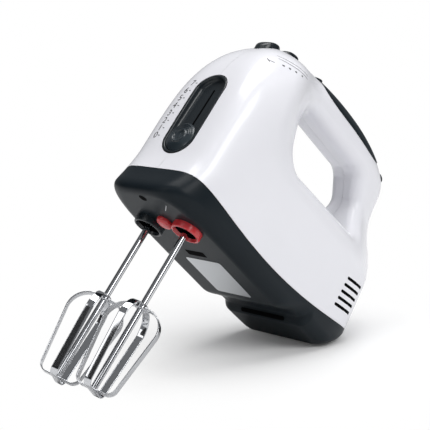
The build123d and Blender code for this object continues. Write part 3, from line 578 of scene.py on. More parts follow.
def flank(x, z):
    """Half breadth of the skin: level superellipse sections, drawn in at base, roof, heel and opening."""
    low = round_in(z - hollow(x), BOTTOM_ROUND)
    level = np.minimum(z, LAST_SECTION)
    a = front(level) - low
    b = rear(level) + low
    y = (half_width(x, z) - low) * quarter(np.abs(2 * x - a - b) / (a - b), fullness(x, level))
    y = y * quarter((z - crown(x) + ROOF_DEPTH) / ROOF_DEPTH, ROOF_POWER)
    y = y - round_in(heel_height(x, z), HEEL_ROUND) - round_in(hole_gap(x, z), HOLE_RIM)
    return np.maximum(y, 0.0)


def inside(x, z):
    """True within the side view: between nose and tail lines, over underside and heel, under the crown."""
    rise = z - hollow(x)
    low = round_in(rise, BOTTOM_ROUND)
    level = np.minimum(z, LAST_SECTION)
    ok = (x < front(level) - low) & (x > rear(level) + low) & (rise > 0) & (z < crown(x))
    return ok & (heel_height(x, z) > 0)


def roof_height(x, y):
    """Height of the skin's top over a point, by halving the span in which flank(x, z) passes |y|."""
    top = crown(x)
    low, high = halve(top - ROOF_SEARCH, top, lambda z: flank(x, z) > np.abs(y), 40)
    return (low + high) / 2


def nose_x(y, z):
    """Face of the nose at a place across it: the level superellipse solved for x."""
    a = front(z)
    b = rear(z)
    ahead = np.full_like(z, NOSE_PROBE)
    return (a + b) / 2 + (a - b) / 2 * quarter(np.abs(y) / half_width(ahead, z), fullness(ahead, z))


# Plane of the speed track across the nose: up along it, and out of it
TRACK_RISE = np.array([front(TRACK_HIGH) - front(TRACK_LOW), 0.0, TRACK_HIGH - TRACK_LOW])
TRACK_LENGTH = np.linalg.norm(TRACK_RISE)
TRACK_UP = TRACK_RISE / TRACK_LENGTH
TRACK_OUT = np.array([TRACK_UP[2], 0.0, -TRACK_UP[0]])
TRACK_MID = np.array([(front(TRACK_LOW) + front(TRACK_HIGH)) / 2, 0.0, (TRACK_LOW + TRACK_HIGH) / 2])
TRACK_RUN = TRACK_LENGTH / 2 - TRACK_RADIUS
SLIDER_START = -(TRACK_LENGTH / 2 - TRACK_WALL - SLIDER_GAP - SLIDER_RADIUS)


def on_track(across, along, out):
    """Track coordinates to the mixer's frame: middle + across LEFT + along TRACK_UP + out TRACK_OUT."""
    return TRACK_MID + across[..., None] * LEFT + along[..., None] * TRACK_UP + out[..., None] * TRACK_OUT


def nose_rise(across, along):
    """Height of the nose face over the track plane: its place less the plane's middle, along TRACK_OUT."""
    z = TRACK_MID[2] + along * TRACK_UP[2]
    x = nose_x(np.abs(across), z)
    return (x - TRACK_MID[0]) * TRACK_OUT[0] + (z - TRACK_MID[2]) * TRACK_OUT[2]


def stadium(turn, radius, run):
    """Point of a stadium outline: half circles about the ends of a straight run of half length run.

    The straight sides are passed while the sine of the turn is within a sixth of 0.
    """
    s = np.sin(turn)
    return radius * np.cos(turn), radius * s + np.clip(s * 6, -1, 1) * run


def track_place(p):
    """Across, along and out of the track plane for points in the mixer's frame."""
    q = p - TRACK_MID
    return q[..., 1], q @ TRACK_UP, q @ TRACK_OUT


def dial(node, **values):
    """Sets inputs of a shader node: an underscore in a key stands for a space."""
    for key, value in values.items():
        node.inputs[key.replace("_", " ")].default_value = value
    return node


def finish(name):
    """Moulded or metal finish on Object coordinates: slow colour drift, patchy roughness and fine grain."""
    old = bpy.data.materials.get(name)
    if old:
        return old
    colour, rough, grain, grain_size, tint, coat, metal, spec = LOOKS[name]
    if isinstance(colour, str):
        colour = [PAINTED_LIGHT_LIFTS.get(name, 1.0) * c for c in getattr(bpy.context.scene.mixer_colours, colour)]
    mat = bpy.data.materials.new(name)
    mat.use_nodes = True
    nodes = mat.node_tree.nodes
    shader = nodes["Principled BSDF"]
    dial(shader, Metallic=metal, Coat_Weight=coat, Coat_Roughness=COAT_ROUGHNESS, Specular_IOR_Level=spec)
    coords = nodes.new("ShaderNodeTexCoord")
    drift = dial(nodes.new("ShaderNodeTexNoise"), Scale=DRIFT_SCALE, Detail=DRIFT_DETAIL)
    ramp = nodes.new("ShaderNodeValToRGB")
    low, high = ramp.color_ramp.elements
    low.position = DRIFT_LOW
    high.position = DRIFT_HIGH
    low.color = [c * (1 - tint) for c in colour] + [1]
    high.color = [min(1.0, c * (1 + tint)) for c in colour] + [1]
    spread = dial(nodes.new("ShaderNodeMapRange"), To_Min=rough * ROUGH_LOW, To_Max=rough * ROUGH_HIGH)
    fine = dial(nodes.new("ShaderNodeTexNoise"), Scale=PER_METRE / grain_size, Detail=GRAIN_DETAIL)
    relief = dial(nodes.new("ShaderNodeBump"), Strength=grain, Distance=GRAIN_DEPTH)
    for source, output, target, entry in (
        (coords, "Object", drift, "Vector"),
        (drift, "Fac", ramp, "Fac"),
        (ramp, "Color", shader, "Base Color"),
        (drift, "Fac", spread, "Value"),
        (spread, "Result", shader, "Roughness"),
        (coords, "Object", fine, "Vector"),
        (fine, "Fac", relief, "Height"),
        (relief, "Normal", shader, "Normal"),
    ):
        mat.node_tree.links.new(source.outputs[output], target.inputs[entry])
    return mat


def add_mesh(name, verts, faces, material, face_out=True, sharp=EDGE_ANGLE):
    """Mesh from points in metres and quads, welded and smooth, with its faces turned out where asked."""
    mesh = bpy.data.meshes.new(name)
    mesh.from_pydata(np.asarray(verts).tolist(), [], np.asarray(faces).tolist())
    obj = bpy.data.objects.new(name, mesh)
    bpy.context.scene.collection.objects.link(obj)
    bm = bmesh.new()
    bm.from_mesh(mesh)
    bmesh.ops.remove_doubles(bm, verts=bm.verts, dist=WELD)
    bmesh.ops.dissolve_degenerate(bm, edges=bm.edges, dist=WELD)
    if face_out:
        bmesh.ops.recalc_face_normals(bm, faces=bm.faces)
    bm.to_mesh(mesh)
    bm.free()
    mesh.polygons.foreach_set("use_smooth", np.ones(len(mesh.polygons), bool))
    mesh.set_sharp_from_angle(angle=np.radians(sharp))
    mesh.materials.append(material)
    return obj


def mesh_points(mesh):
    """Points of a mesh as rows of an array."""
    flat = np.empty(len(mesh.vertices) * 3)
    mesh.vertices.foreach_get("co", flat)
    return flat.reshape(-1, 3)


def grid_faces(rows, columns, wrap_rows=False, wrap_columns=False):
    """Quads of a grid of points, closed round either way."""
    index = np.arange(rows * columns).reshape(rows, columns)
    if wrap_rows:
        index = np.concatenate([index, index[:1]], 0)
    if wrap_columns:
        index = np.concatenate([index, index[:, :1]], 1)
    quads = [index[:-1, :-1], index[1:, :-1], index[1:, 1:], index[:-1, 1:]]
    return np.stack([q.ravel() for q in quads], 1)


def grid_piece(name, points, material, body, nodes=(), wrap_rows=False, sharp=EDGE_ANGLE):
    """One piece from a grid of points in the mixer's frame, riding on a body and standing for CAD nodes."""
    faces = grid_faces(*points.shape[:2], wrap_rows)
    obj = add_mesh(name, stand(points).reshape(-1, 3), faces, material, sharp=sharp)
    settle(obj, body, nodes)


def settle(obj, body, nodes=()):
    """Puts a piece on a body, and hides the CAD nodes it stands in place of, if any."""
    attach(obj, body)
    if nodes:
        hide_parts(*nodes)


def round_piece(name, points, look, body, node, sharp=EDGE_ANGLE):
    """One piece from a grid that closes round its rows, in place of one CAD node."""
    grid_piece(name, points, finish(look), body, (node,), wrap_rows=True, sharp=sharp)


def recess(name, points):
    """Black inlay of painted shade on the housing, standing for the shade in a hole, slot or gap, from a grid that
    closes round its rows.
    """
    grid_piece(name, points, finish("black_recess"), "housing", wrap_rows=True)


def printed(name, points):
    """Printed mark on the housing from a grid of points."""
    grid_piece(name, points, finish("grey_ink"), "housing")


def revolved(profile, centre, count=64):
    """Profile of (radius, height) turned about an upright axis through centre."""
    profile = np.asarray(profile, float)
    turn = circle(count)
    r = profile[None, :, 0]
    x = centre[0] + r * np.cos(turn)
    y = centre[1] + r * np.sin(turn)
    z = np.broadcast_to(profile[None, :, 1], x.shape)
    return np.stack([x, y, z], -1)


def rounded_profile(points, radii, steps=7):
    """Open profile whose inner corners are rounded by arcs of the given radii.

    Each arc touches both sides at radius / tan(half the corner), about a centre on the corner's bisector.
    """
    points = np.asarray(points, float)
    out = [points[0]]
    for a, b, c, r in zip(points[:-2], points[1:-1], points[2:], radii):
        if r <= 0:
            out.append(b)
            continue
        u = (a - b) / np.linalg.norm(a - b)
        v = (c - b) / np.linalg.norm(c - b)
        half = np.arccos(np.clip(u @ v, -1, 1)) / 2
        t = np.linspace(0, 1, steps)[:, None]
        start = b + u * r / np.tan(half)
        end = b + v * r / np.tan(half)
        centre = b + (u + v) / np.linalg.norm(u + v) * r / np.sin(half)
        mix = (start - centre) * (1 - t) + (end - centre) * t
        out.extend(centre + mix / np.linalg.norm(mix, axis=1, keepdims=True) * r)
    out.append(points[-1])
    return np.array(out)


class MixerColours(bpy.types.PropertyGroup):
    """Colours of the mouldings and markings."""

    shell: bpy.props.FloatVectorProperty(
        name="Shell",
        description="White upper housing",
        subtype="COLOR",
        size=3,
        default=(0.80, 0.80, 0.84),
    )
    base: bpy.props.FloatVectorProperty(
        name="Base",
        description="Dark base cover and grip",
        subtype="COLOR",
        size=3,
        default=(0.009, 0.0135, 0.0175),
    )
    control: bpy.props.FloatVectorProperty(
        name="Controls",
        description="Track, slider and buttons",
        subtype="COLOR",
        size=3,
        default=(0.010, 0.0145, 0.018),
    )
    socket: bpy.props.FloatVectorProperty(
        name="Socket",
        description="Red socket collar and marker",
        subtype="COLOR",
        size=3,
        default=(0.56, 0.035, 0.042),
    )
    ink: bpy.props.FloatVectorProperty(
        name="Ink",
        description="Printed numerals and ticks",
        subtype="COLOR",
        size=3,
        default=(0.012, 0.012, 0.014),
    )


class MixerSizes(bpy.types.PropertyGroup):
    """Sizes of the skins and markings."""

    seam_gap: bpy.props.FloatProperty(
        name="Seam gap", description="Joint between shell and base", unit="LENGTH", default=0.00016
    )
    parting_gap: bpy.props.FloatProperty(
        name="Parting gap", description="Joint between the housing halves", unit="LENGTH", default=0.00014
    )
    numeral_height: bpy.props.FloatProperty(
        name="Numeral height", description="Height of the scale numerals", unit="LENGTH", default=0.005
    )
    strip_thickness: bpy.props.FloatProperty(
        name="Strip thickness", description="Thickness of the beater strips", unit="LENGTH", default=0.001
    )


def body_grid(side, gap):
    """One half of the skin over the ring between finger opening and outline in the side view.

    Rays leave the opening's centre at even angles. Along each, points run from the opening to the outline,
    closer at both ends. The half breadth is flank(x, z). Rows before the rim go down the opening's wall to
    the middle plane, and rows after the outline close the underside and heel.
    """
    turn = circle(SKIN_RAYS)
    across = np.cos(turn)
    rise = np.sin(turn)

    def place(reach):
        """Place in the side view at a reach along each ray: centre + reach (cos, sin)."""
        return HOLE_CENTRE[0] + across * reach, HOLE_CENTRE[1] + rise * reach

    zero = np.zeros((SKIN_RAYS, 1))
    _, rim = halve(zero, zero + HOLE_REACH, lambda reach: hole_gap(*place(reach)) < 0, 46)
    rim = rim + RIM_STEP
    edge, _ = halve(rim + RIM_CLEAR, zero + BODY_REACH, lambda reach: inside(*place(reach)), 46)
    v = np.linspace(0, 1, SKIN_ROWS)
    ease = np.where(v < 0.5, 2 * v**2, 1 - 0.5 * (2 - 2 * v) ** EDGE_CROWDING)
    x, z = place(rim + (edge - rim) * ease)
    y = flank(x, z)
    wall = np.linspace(0, 1, WALL_ROWS + 1)[None, :-1]
    close = np.cos(np.linspace(0, np.pi / 2, UNDER_ROWS + 1))[None, 1:]
    y = np.concatenate([y[:, :1] * wall, y, y[:, -1:] * close], 1)
    x, z = (
        np.concatenate([np.repeat(p[:, :1], WALL_ROWS, 1), p, np.repeat(p[:, -1:], UNDER_ROWS, 1)], 1)
        for p in (x, z)
    )
    return np.stack([x, side * (y + gap), z], -1)


def bend(mesh, sign):
    """Lowers or raises a mesh along UP by the seam's height over each point, sign -1 or 1."""
    points = mesh_points(mesh)
    x = ((points - HOME) @ AHEAD) * PER_METRE
    bent = points + UP * (sign * seam(x) / PER_METRE)[:, None]
    mesh.vertices.foreach_set("co", bent.ravel())


def cut_skin(obj, keep_above, offset):
    """Cuts a skin along the seam and keeps one side: the seam is laid flat for the cut."""
    mesh = obj.data
    bend(mesh, -1)
    bm = bmesh.new()
    bm.from_mesh(mesh)
    bmesh.ops.bisect_plane(
        bm,
        geom=bm.verts[:] + bm.edges[:] + bm.faces[:],
        dist=CUT_WELD,
        plane_co=Vector(HOME + UP * offset),
        plane_no=Vector(UP),
        clear_inner=keep_above,
        clear_outer=not keep_above,
    )
    bm.to_mesh(mesh)
    bm.free()
    bend(mesh, 1)
    mesh.update()


def skin(name, sides, material):
    """Skin of one half, clear of the parting plane, or of both, joined there.

    The track's place is left open: quads with a point nearer to its spine than its radius less the lap go.
    """
    gap = bpy.context.scene.mixer_sizes.parting_gap * (PER_METRE / 2) if len(sides) == 1 else 0.0
    verts = []
    faces = []
    for side in sides:
        grid = body_grid(side, gap)
        quads = grid_faces(*grid.shape[:2], wrap_rows=True)
        p = grid.reshape(-1, 3)
        across, along, out = track_place(p)
        spine = np.hypot(across, np.maximum(np.abs(along) - TRACK_RUN, 0.0))
        cut = (spine < TRACK_RADIUS - TRACK_LAP) & (np.abs(out) < TRACK_REACH)
        quads = quads[~cut[quads].any(1)]
        if side < 0:
            quads = quads[:, ::-1]
        faces.append(quads + sum(len(v) for v in verts))
        verts.append(p)
    points = stand(np.concatenate(verts))
    quads = np.concatenate(faces)
    a, b, c = (points[quads[:, corner]] for corner in range(3))
    area = np.cross(b - a, c - a)
    mid = (a + c) / 2
    if (area[:, 1] * np.sign(mid[:, 1])).sum() < 0:
        quads = quads[:, ::-1]
    return add_mesh(name, points, quads, material, face_out=False, sharp=SKIN_EDGE_ANGLE)


class MIXER_OT_shells(bpy.types.Operator):
    """White housing halves and dark base cover"""

    bl_idname = "mixer.shells"
    bl_label = "Housing Skins"

    def execute(self, context):
        gap = context.scene.mixer_sizes.seam_gap / 2
        for name, side in (("housing_left", 1), ("housing_right", -1)):
            half = skin(name + "_skin", (side,), finish("white_moulding"))
            cut_skin(half, True, gap)
            settle(half, "housing", (name,))
        base = skin("base_cover_skin", (1, -1), finish("slate_moulding"))
        cut_skin(base, False, -gap)
        settle(base, "housing", ("base_cover",))
        return {"FINISHED"}


def grip_edge(x):
    """Lower edge of the grip cap in the side view: a long shallow bow between its pointed ends."""
    u = (x - GRIP_REAR) / (GRIP_FRONT - GRIP_REAR)
    return crown(x) + GRIP_BOW_RISE - GRIP_BOW * quarter(np.abs(2 * u - 1), GRIP_BOW_POWER)


class MIXER_OT_grip(bpy.types.Operator):
    """Grip cap over the handle, with the raised lip at its front"""

    bl_idname = "mixer.grip"
    bl_label = "Handle Grip"

    def execute(self, context):
        dark = finish("slate_moulding")
        grid_piece("handle_grip_cap", self.cap(), dark, "housing", ("handle_grip",))
        lip = self.lip()
        grid_piece("grip_lip", lip, dark, "housing", sharp=CONTROL_EDGE_ANGLE)
        return {"FINISHED"}

    def cap(self):
        """Cap from edge to edge over the handle: the skin raised along its normal, sunk at the rim."""
        u = np.sin(np.linspace(-1, 1, 180) * np.pi / 2)[:, None]
        v = np.linspace(-1, 1, 81)[None, :]
        x = (GRIP_FRONT + GRIP_REAR) / 2 + (GRIP_FRONT - GRIP_REAR) / 2 * u + 0 * v
        top = crown(x)
        z = top - (top - np.minimum(grip_edge(x), top)) * v**2
        y = np.sign(v) * flank(x, z)
        tilt = np.arctan2(y / HANDLE_HALF, (z - top + ROOF_DEPTH) / ROOF_DEPTH)
        proud = GRIP_PROUD * quarter(np.abs(v), GRIP_EDGE_POWER) * quarter(np.abs(u), GRIP_EDGE_POWER)
        proud = proud - GRIP_SINK
        return np.stack([x, y + proud * np.sin(tilt), z + proud * np.cos(tilt)], -1)

    def lip(self):
        """Lip on the roof: rises smoothly backwards, drops as a quarter round, and thins to its sides."""
        s = np.linspace(0, 1, 40)[:, None]
        w = np.linspace(-1, 1, 40)[None, :]
        x = LIP_FRONT - LIP_LENGTH * s + 0 * w
        y = LIP_HALF * np.sin(w * np.pi / 2) * quarter(np.abs(2 * s - 1), LIP_POWER)
        rise = LIP_RISE * smooth(s / LIP_RAMP) * quarter((s - LIP_BROW) / LIP_BACK, 2.0)
        rise = rise * quarter(np.abs(w), LIP_POWER)
        return np.stack([x, y, roof_height(x, y) - LIP_SINK + rise], -1)


class MIXER_OT_sockets(bpy.types.Operator):
    """Beater socket collars, their throats in black as painted shade, and the marker tab"""

    bl_idname = "mixer.sockets"
    bl_label = "Sockets"

    def execute(self, context):
        ring = rounded_profile(COLLAR, COLLAR_ROUNDS)
        throat = rounded_profile(THROAT, THROAT_ROUNDS)
        for name, y, look in (
            ("socket_collar_left", SOCKET_Y, "red_moulding"),
            ("socket_collar_right", -SOCKET_Y, "slate_gloss"),
        ):
            round_piece(name + "_ring", revolved(ring, (0, y)), look, "housing", name)
            recess(name + "_throat", revolved(throat, (0, y)))
        round_piece("marker_tab_button", self.tab(), "red_moulding", "housing", "marker_tab")
        return {"FINISHED"}

    def tab(self):
        """Marker tab: a quarter superellipse hung from the underside over an oval."""
        turn = circle(72)
        s = np.sin(np.linspace(0, 1, 24) * np.pi / 2)[None, :]
        x = TAB_X + TAB_HALF_LENGTH * s * np.cos(turn)
        y = TAB_HALF_WIDTH * s * np.sin(turn)
        z = TAB_ROOT - TAB_HEIGHT * quarter(s, TAB_POWER) + 0 * turn
        return np.stack([x, y, z], -1)


def loop_path(nest):
    """Closed line of one beater loop in its plane: a trapezium with rounded shoulders and tips.

    A loop that lies inside the other one is smaller by nest at its tip and top.
    """
    tip = LOOP_TIP + nest
    top = LOOP_TOP - nest
    half = [(LOOP_TIP_HALF, tip), (LOOP_TOP_HALF, top)]
    other = [(-LOOP_TOP_HALF, top), (-LOOP_TIP_HALF, tip)]
    return rounded_profile([(0.0, tip), *half, *other, (0.0, tip)], LOOP_ROUNDS, LOOP_STEPS)[:-1]


def strip_loop(path, thick, width):
    """Strip along a closed line: a flat superellipse section between the line and a thickness inside it."""
    ahead = np.roll(path, -1, axis=0) - np.roll(path, 1, axis=0)
    ahead /= np.linalg.norm(ahead, axis=1, keepdims=True)
    inward = np.stack([-ahead[:, 1], ahead[:, 0]], 1)
    inward *= np.sign(((LOOP_MIDDLE - path) * inward).sum(1))[:, None]
    turn = circle(STRIP_COUNT)[:, 0]
    flat = signed_power(np.cos(turn), STRIP_FACE_POWER) * width / 2
    deep = (signed_power(np.sin(turn), STRIP_EDGE_POWER) + 1) / 2 * thick
    r = path[:, None, :] + inward[:, None, :] * deep[None, :, None]
    return r, np.broadcast_to(flat, r.shape[:2])


class MIXER_OT_beaters(bpy.types.Operator):
    """Two beaters: plated rods with two nested strip loops and a hub each"""

    bl_idname = "mixer.beaters"
    bl_label = "Beaters"

    def execute(self, context):
        thick = context.scene.mixer_sizes.strip_thickness * PER_METRE
        hub = rounded_profile(HUB, HUB_ROUNDS)
        for side, y, phase in (
            ("left", SOCKET_Y, WING_PHASE),
            ("right", -SOCKET_Y, WING_PHASE + PHASE_STEP),
        ):
            body = "beater_" + side
            rod = revolved(ROD, (0, y), ROD_COUNT)
            round_piece("beater_rod_" + side, rod, "chrome_plate", body, "beater_shaft_" + side)
            verts = []
            faces = []
            for angle, nest in ((phase, 0.0), (phase + 90, 1.0)):
                path, flat = strip_loop(loop_path(nest), thick, STRIP_WIDTH)
                c = np.cos(np.radians(angle))
                s = np.sin(np.radians(angle))
                px = path[..., 0] * c + flat * s
                py = y + path[..., 0] * s - flat * c
                count = sum(len(v) for v in verts)
                faces.append(grid_faces(*px.shape, wrap_rows=True, wrap_columns=True) + count)
                verts.append(np.stack([px, py, path[..., 1]], -1).reshape(-1, 3))
            knob = revolved(hub, (0, y), HUB_COUNT)
            count = sum(len(v) for v in verts)
            faces.append(grid_faces(*knob.shape[:2], wrap_rows=True) + count)
            verts.append(knob.reshape(-1, 3))
            points = stand(np.concatenate(verts))
            wings = add_mesh("beater_loops_" + side, points, np.concatenate(faces), finish("chrome_plate"))
            settle(wings, body, ("beater_wings_" + side,))
        return {"FINISHED"}


def thumb_face(r, turn):
    """Height of the thumb disc over the track plane.

    A dome falls by the fourth power of the radius and drops at its lower edge. Added are a round ridge, a
    dish within it, rib arcs eased in over the upper half and a bar on the middle.
    """
    c = np.cos(turn)
    s = np.sin(turn)
    face = DISC_TOP - DISC_FALL * (r / SLIDER_RADIUS) ** 4
    face = face - DROP_DEPTH * smooth((-s * r - DROP_START) / DROP_RUN)
    face = face + RING_HEIGHT * bump((r - RING_RADIUS) / RING_HALF)
    face = face - DISH_DEPTH * quarter(r / DISH_RADIUS, 2.0)
    ribs = sum(bump((r - radius) / RIB_HALF) for radius in RIB_RADII)
    face = face + RIB_HEIGHT * ribs * smooth((s - RIB_START) / RIB_EASE)
    bar = bump(c * r / BAR_HALF) * bump(np.maximum(np.abs(s * r) - BAR_REACH, 0.0) / BAR_END)
    return face + BAR_HEIGHT * bar


class MIXER_OT_speed_control(bpy.types.Operator):
    """Speed track let into the nose, and the thumb slider in it"""

    bl_idname = "mixer.speed_control"
    bl_label = "Speed Control"

    def execute(self, context):
        turn = circle(TRACK_COUNT)
        tray = self.tray(turn)
        round_piece("speed_track_tray", tray, "slate_gloss", "housing", "speed_track", CONTROL_EDGE_ANGLE)
        # Black ring of painted shade for the shadow in the gap round the tray, and a black strip of painted shade
        # in the slit
        across, along = stadium(turn, TRACK_GAP[None, :, 0], TRACK_RUN)
        shade = on_track(across, along, nose_rise(across, along) + TRACK_GAP[None, :, 1])
        recess("speed_track_gap", shade)
        across, along = stadium(turn, np.array([[SLIT_HALF, 0.0]]), SLIT_RUN)
        slit = on_track(across, along, np.full_like(along, POCKET_FLOOR + SLIT_LIFT))
        recess("speed_track_slit", slit)
        thumb = self.thumb(turn)
        # The thumb slider takes a lighter copy of the controls' slate: painted light
        round_piece("speed_slider_thumb", thumb, "slate_thumb", "slider", "speed_slider", THUMB_EDGE_ANGLE)
        return {"FINISHED"}

    def tray(self, turn):
        """Tray of stadium outlines: a rim that follows the nose face, and a well below the track plane."""
        edge = len(TRACK_RIM)
        radius = np.concatenate([TRACK_RIM[:, 0], TRACK_WELL[:, 0]])[None, :]
        across, along = stadium(turn, radius, TRACK_RUN)
        rim = nose_rise(across[:, :edge], along[:, :edge]) + TRACK_RIM[:, 1]
        well = 0 * along[:, edge:] + TRACK_WELL[:, 1]
        return on_track(across, along, np.concatenate([rim, well], 1))

    def thumb(self, turn):
        """Thumb disc at the track's low end: its face, then a skirt that closes below."""
        r = np.concatenate([np.linspace(0, DISC_FACE, DISC_RINGS), [DISC_BEVEL, SLIDER_RADIUS]])[None, :]
        radius = np.concatenate([r[0], SLIDER_SKIRT[:, 0]])[None, :]
        out = np.concatenate([thumb_face(r, turn), 0 * turn + SLIDER_SKIRT[:, 1]], 1)
        return on_track(radius * np.cos(turn), SLIDER_START + radius * np.sin(turn), out)


def button_grid(x_rear, x_front, half, top, drop, depth):
    """Domed push button over a stadium: top(x) less drop (1 - (1 - s^5)^(1/2)), then a straight skirt."""
    turn = circle(120)
    s = np.sin(np.linspace(0, 1, 40) * np.pi / 2)[None, :]
    across, along = stadium(turn, half, (x_front - x_rear) / 2 - half)
    x = (x_front + x_rear) / 2 + along * s
    y = across * s
    z = top(x) - drop * (1 - np.sqrt(1 - s**BUTTON_POWER))
    skirt = np.linspace(0, 1, SKIRT_ROWS + 1)[None, 1:]
    x = np.concatenate([x, np.repeat(x[:, -1:], SKIRT_ROWS, 1)], 1)
    y = np.concatenate([y, np.repeat(y[:, -1:], SKIRT_ROWS, 1)], 1)
    z = np.concatenate([z, z[:, -1:] - depth * skirt], 1)
    return np.stack([x, y, z], -1)


def eject_top(x):
    """Top line of the eject button: two parabolas that meet at its highest point."""
    past = x - EJECT_PEAK
    ahead = EJECT_TOP - EJECT_FALL_AHEAD * np.maximum(past, 0) ** 2
    return ahead - EJECT_FALL_BEHIND * np.minimum(past, 0) ** 2


def turbo_top(x):
    """Top line of the turbo button: one parabola."""
    return TURBO_TOP - TURBO_FALL * (x - TURBO_PEAK) ** 2


class MIXER_OT_top_buttons(bpy.types.Operator):
    """Eject button and turbo button on top of the head"""

    bl_idname = "mixer.top_buttons"
    bl_label = "Top Buttons"

    def execute(self, context):
        eject = button_grid(x_rear=-2.2, x_front=14.2, half=6.8, top=eject_top, drop=2.6, depth=12.0)
        turbo = button_grid(x_rear=-22.2, x_front=-6.0, half=5.5, top=turbo_top, drop=2.2, depth=9.0)
        for name, cap, body in (("eject_button", eject, "ejector"), ("turbo_button", turbo, "turbo")):
            round_piece(name + "_cap", cap, "slate_gloss", body, name, CONTROL_EDGE_ANGLE)
        return {"FINISHED"}


class MIXER_OT_slots(bpy.types.Operator):
    """Cooling slots in the tail, and the slots, bare plate and screw hole of the underside: slots and screw hole
    are black sheets of painted shade
    """

    bl_idname = "mixer.slots"
    bl_label = "Slots"

    def execute(self, context):
        turn = circle(64)
        s = np.linspace(0, 1, 6)[None, :]
        for k in range(VENTS):
            x, y, z = self.vent(turn, VENT_Z - VENT_STEP * k)
            for side, name in ((1, "left"), (-1, "right")):
                recess(f"vent_{name}_{k + 1}", np.stack([x, side * y, z], -1))
        across, along = stadium(turn, SLOT_HALF, HEEL_SLOT_RUN)
        y = along * s
        z = HEEL_SLOT_Z + across * s
        x = HEEL_SLOT_X + (z - HEEL_SLOT_Z)
        recess("heel_slot", np.stack([x + HEEL_SLOT_LIFT, y, z - HEEL_SLOT_LIFT], -1))
        box_x = signed_power(np.cos(turn), BOX_POWER) * s
        box_y = signed_power(np.sin(turn), BOX_POWER) * s
        level = UNDER_DEPTH + 0 * s * turn
        recess("under_slot", self.laid(UNDER_SLOT_X, UNDER_SLOT_HALF, box_x, box_y, level))
        plate_level = PLATE_DEPTH - PLATE_PROUD * (s < 1) + 0 * turn
        plate = self.laid(PLATE_X, PLATE_HALF, box_x, box_y, plate_level)
        round_piece("rating_plate_face", plate, "plate_grey", "housing", "rating_plate")
        round_half = (SCREW_RADIUS, SCREW_RADIUS)
        recess("screw_recess", self.laid(SCREW_X, round_half, np.cos(turn) * s, np.sin(turn) * s, level))
        return {"FINISHED"}

    def vent(self, turn, height):
        """Tilted stadium laid on the flank at a height, standing off it, with its last ring sunk in: a black sheet
        of painted shade for a cooling slot.
        """
        fill = np.append(np.linspace(0, LAST_RING, 7), 1.0)[None, :]
        tilt = np.radians(VENT_TILT)
        up, long = stadium(turn, SLOT_HALF, VENT_RUN)
        x = VENT_X + (long * np.cos(tilt) + up * np.sin(tilt)) * fill
        z = height + (up * np.cos(tilt) - long * np.sin(tilt)) * fill
        return x, flank(x, z) + VENT_LIFT - VENT_SINK * (fill == 1), z

    def laid(self, middle, half, across, along, level):
        """Flat patch on the underside: half sizes times an outline's shares, about a middle, at a level."""
        return np.stack([middle + half[0] * across, half[1] * along, level], -1)


class MIXER_OT_marks(bpy.types.Operator):
    """Plain numerals and ticks of the speed scale"""

    bl_idname = "mixer.marks"
    bl_label = "Scale Marks"

    def execute(self, context):
        u = np.linspace(0, 1, 5)[:, None]
        v = np.linspace(-1, 1, 3)[None, :]
        for k in range(NUMERALS):
            mark_y = SCALE_Y + SCALE_BOW * k**3
            mark_z = SCALE_Z + SCALE_STEP * k + SCALE_GROWTH * k**2
            mesh = self.numeral(context, k)
            flat = mesh_points(mesh)
            placed = stand(self.on_nose(mark_y + flat[:, 0], mark_z + flat[:, 1]))
            mesh.vertices.foreach_set("co", placed.ravel())
            mesh.update()
            mesh.materials.clear()
            mesh.materials.append(finish("grey_ink"))
            obj = bpy.data.objects.new(f"scale_numeral_{k}", mesh)
            context.scene.collection.objects.link(obj)
            settle(obj, "housing")
            y = mark_y + TICK_SHIFT + TICK_LENGTH * u + 0 * v
            z = mark_z + TICK_HALF * v + 0 * u
            printed(f"scale_tick_{k}", self.on_nose(y, z))
        return {"FINISHED"}

    def numeral(self, context, k):
        """Flat mesh of one numeral, in millimetres about its middle."""
        curve = bpy.data.curves.new(f"numeral_{k}", "FONT")
        curve.body = str(k)
        curve.align_x = "CENTER"
        curve.align_y = "CENTER"
        curve.size = context.scene.mixer_sizes.numeral_height * PER_METRE * NUMERAL_EM
        curve.resolution_u = NUMERAL_STEPS
        text = bpy.data.objects.new(f"numeral_curve_{k}", curve)
        context.scene.collection.objects.link(text)
        context.view_layer.update()
        mesh = bpy.data.meshes.new_from_object(text.evaluated_get(context.evaluated_depsgraph_get()))
        bpy.data.objects.remove(text)
        return mesh

    def on_nose(self, y, z):
        """Places across the nose laid on its face, standing off by the print's lift."""
        return np.stack([nose_x(np.abs(y), z) + PRINT_LIFT, y, z], -1)


def flank_line(x, z, width):
    """Thin printed line on the left flank through places of the side view, width across it."""
    along = np.gradient(np.stack([x, z], -1), axis=0)
    along /= np.linalg.norm(along, axis=1, keepdims=True)
    v = np.linspace(-0.5, 0.5, 3)[None, :] * width
    px = x[:, None] - along[:, 1:] * v
    pz = z[:, None] + along[:, :1] * v
    return np.stack([px, flank(px, pz) + PRINT_LIFT, pz], -1)


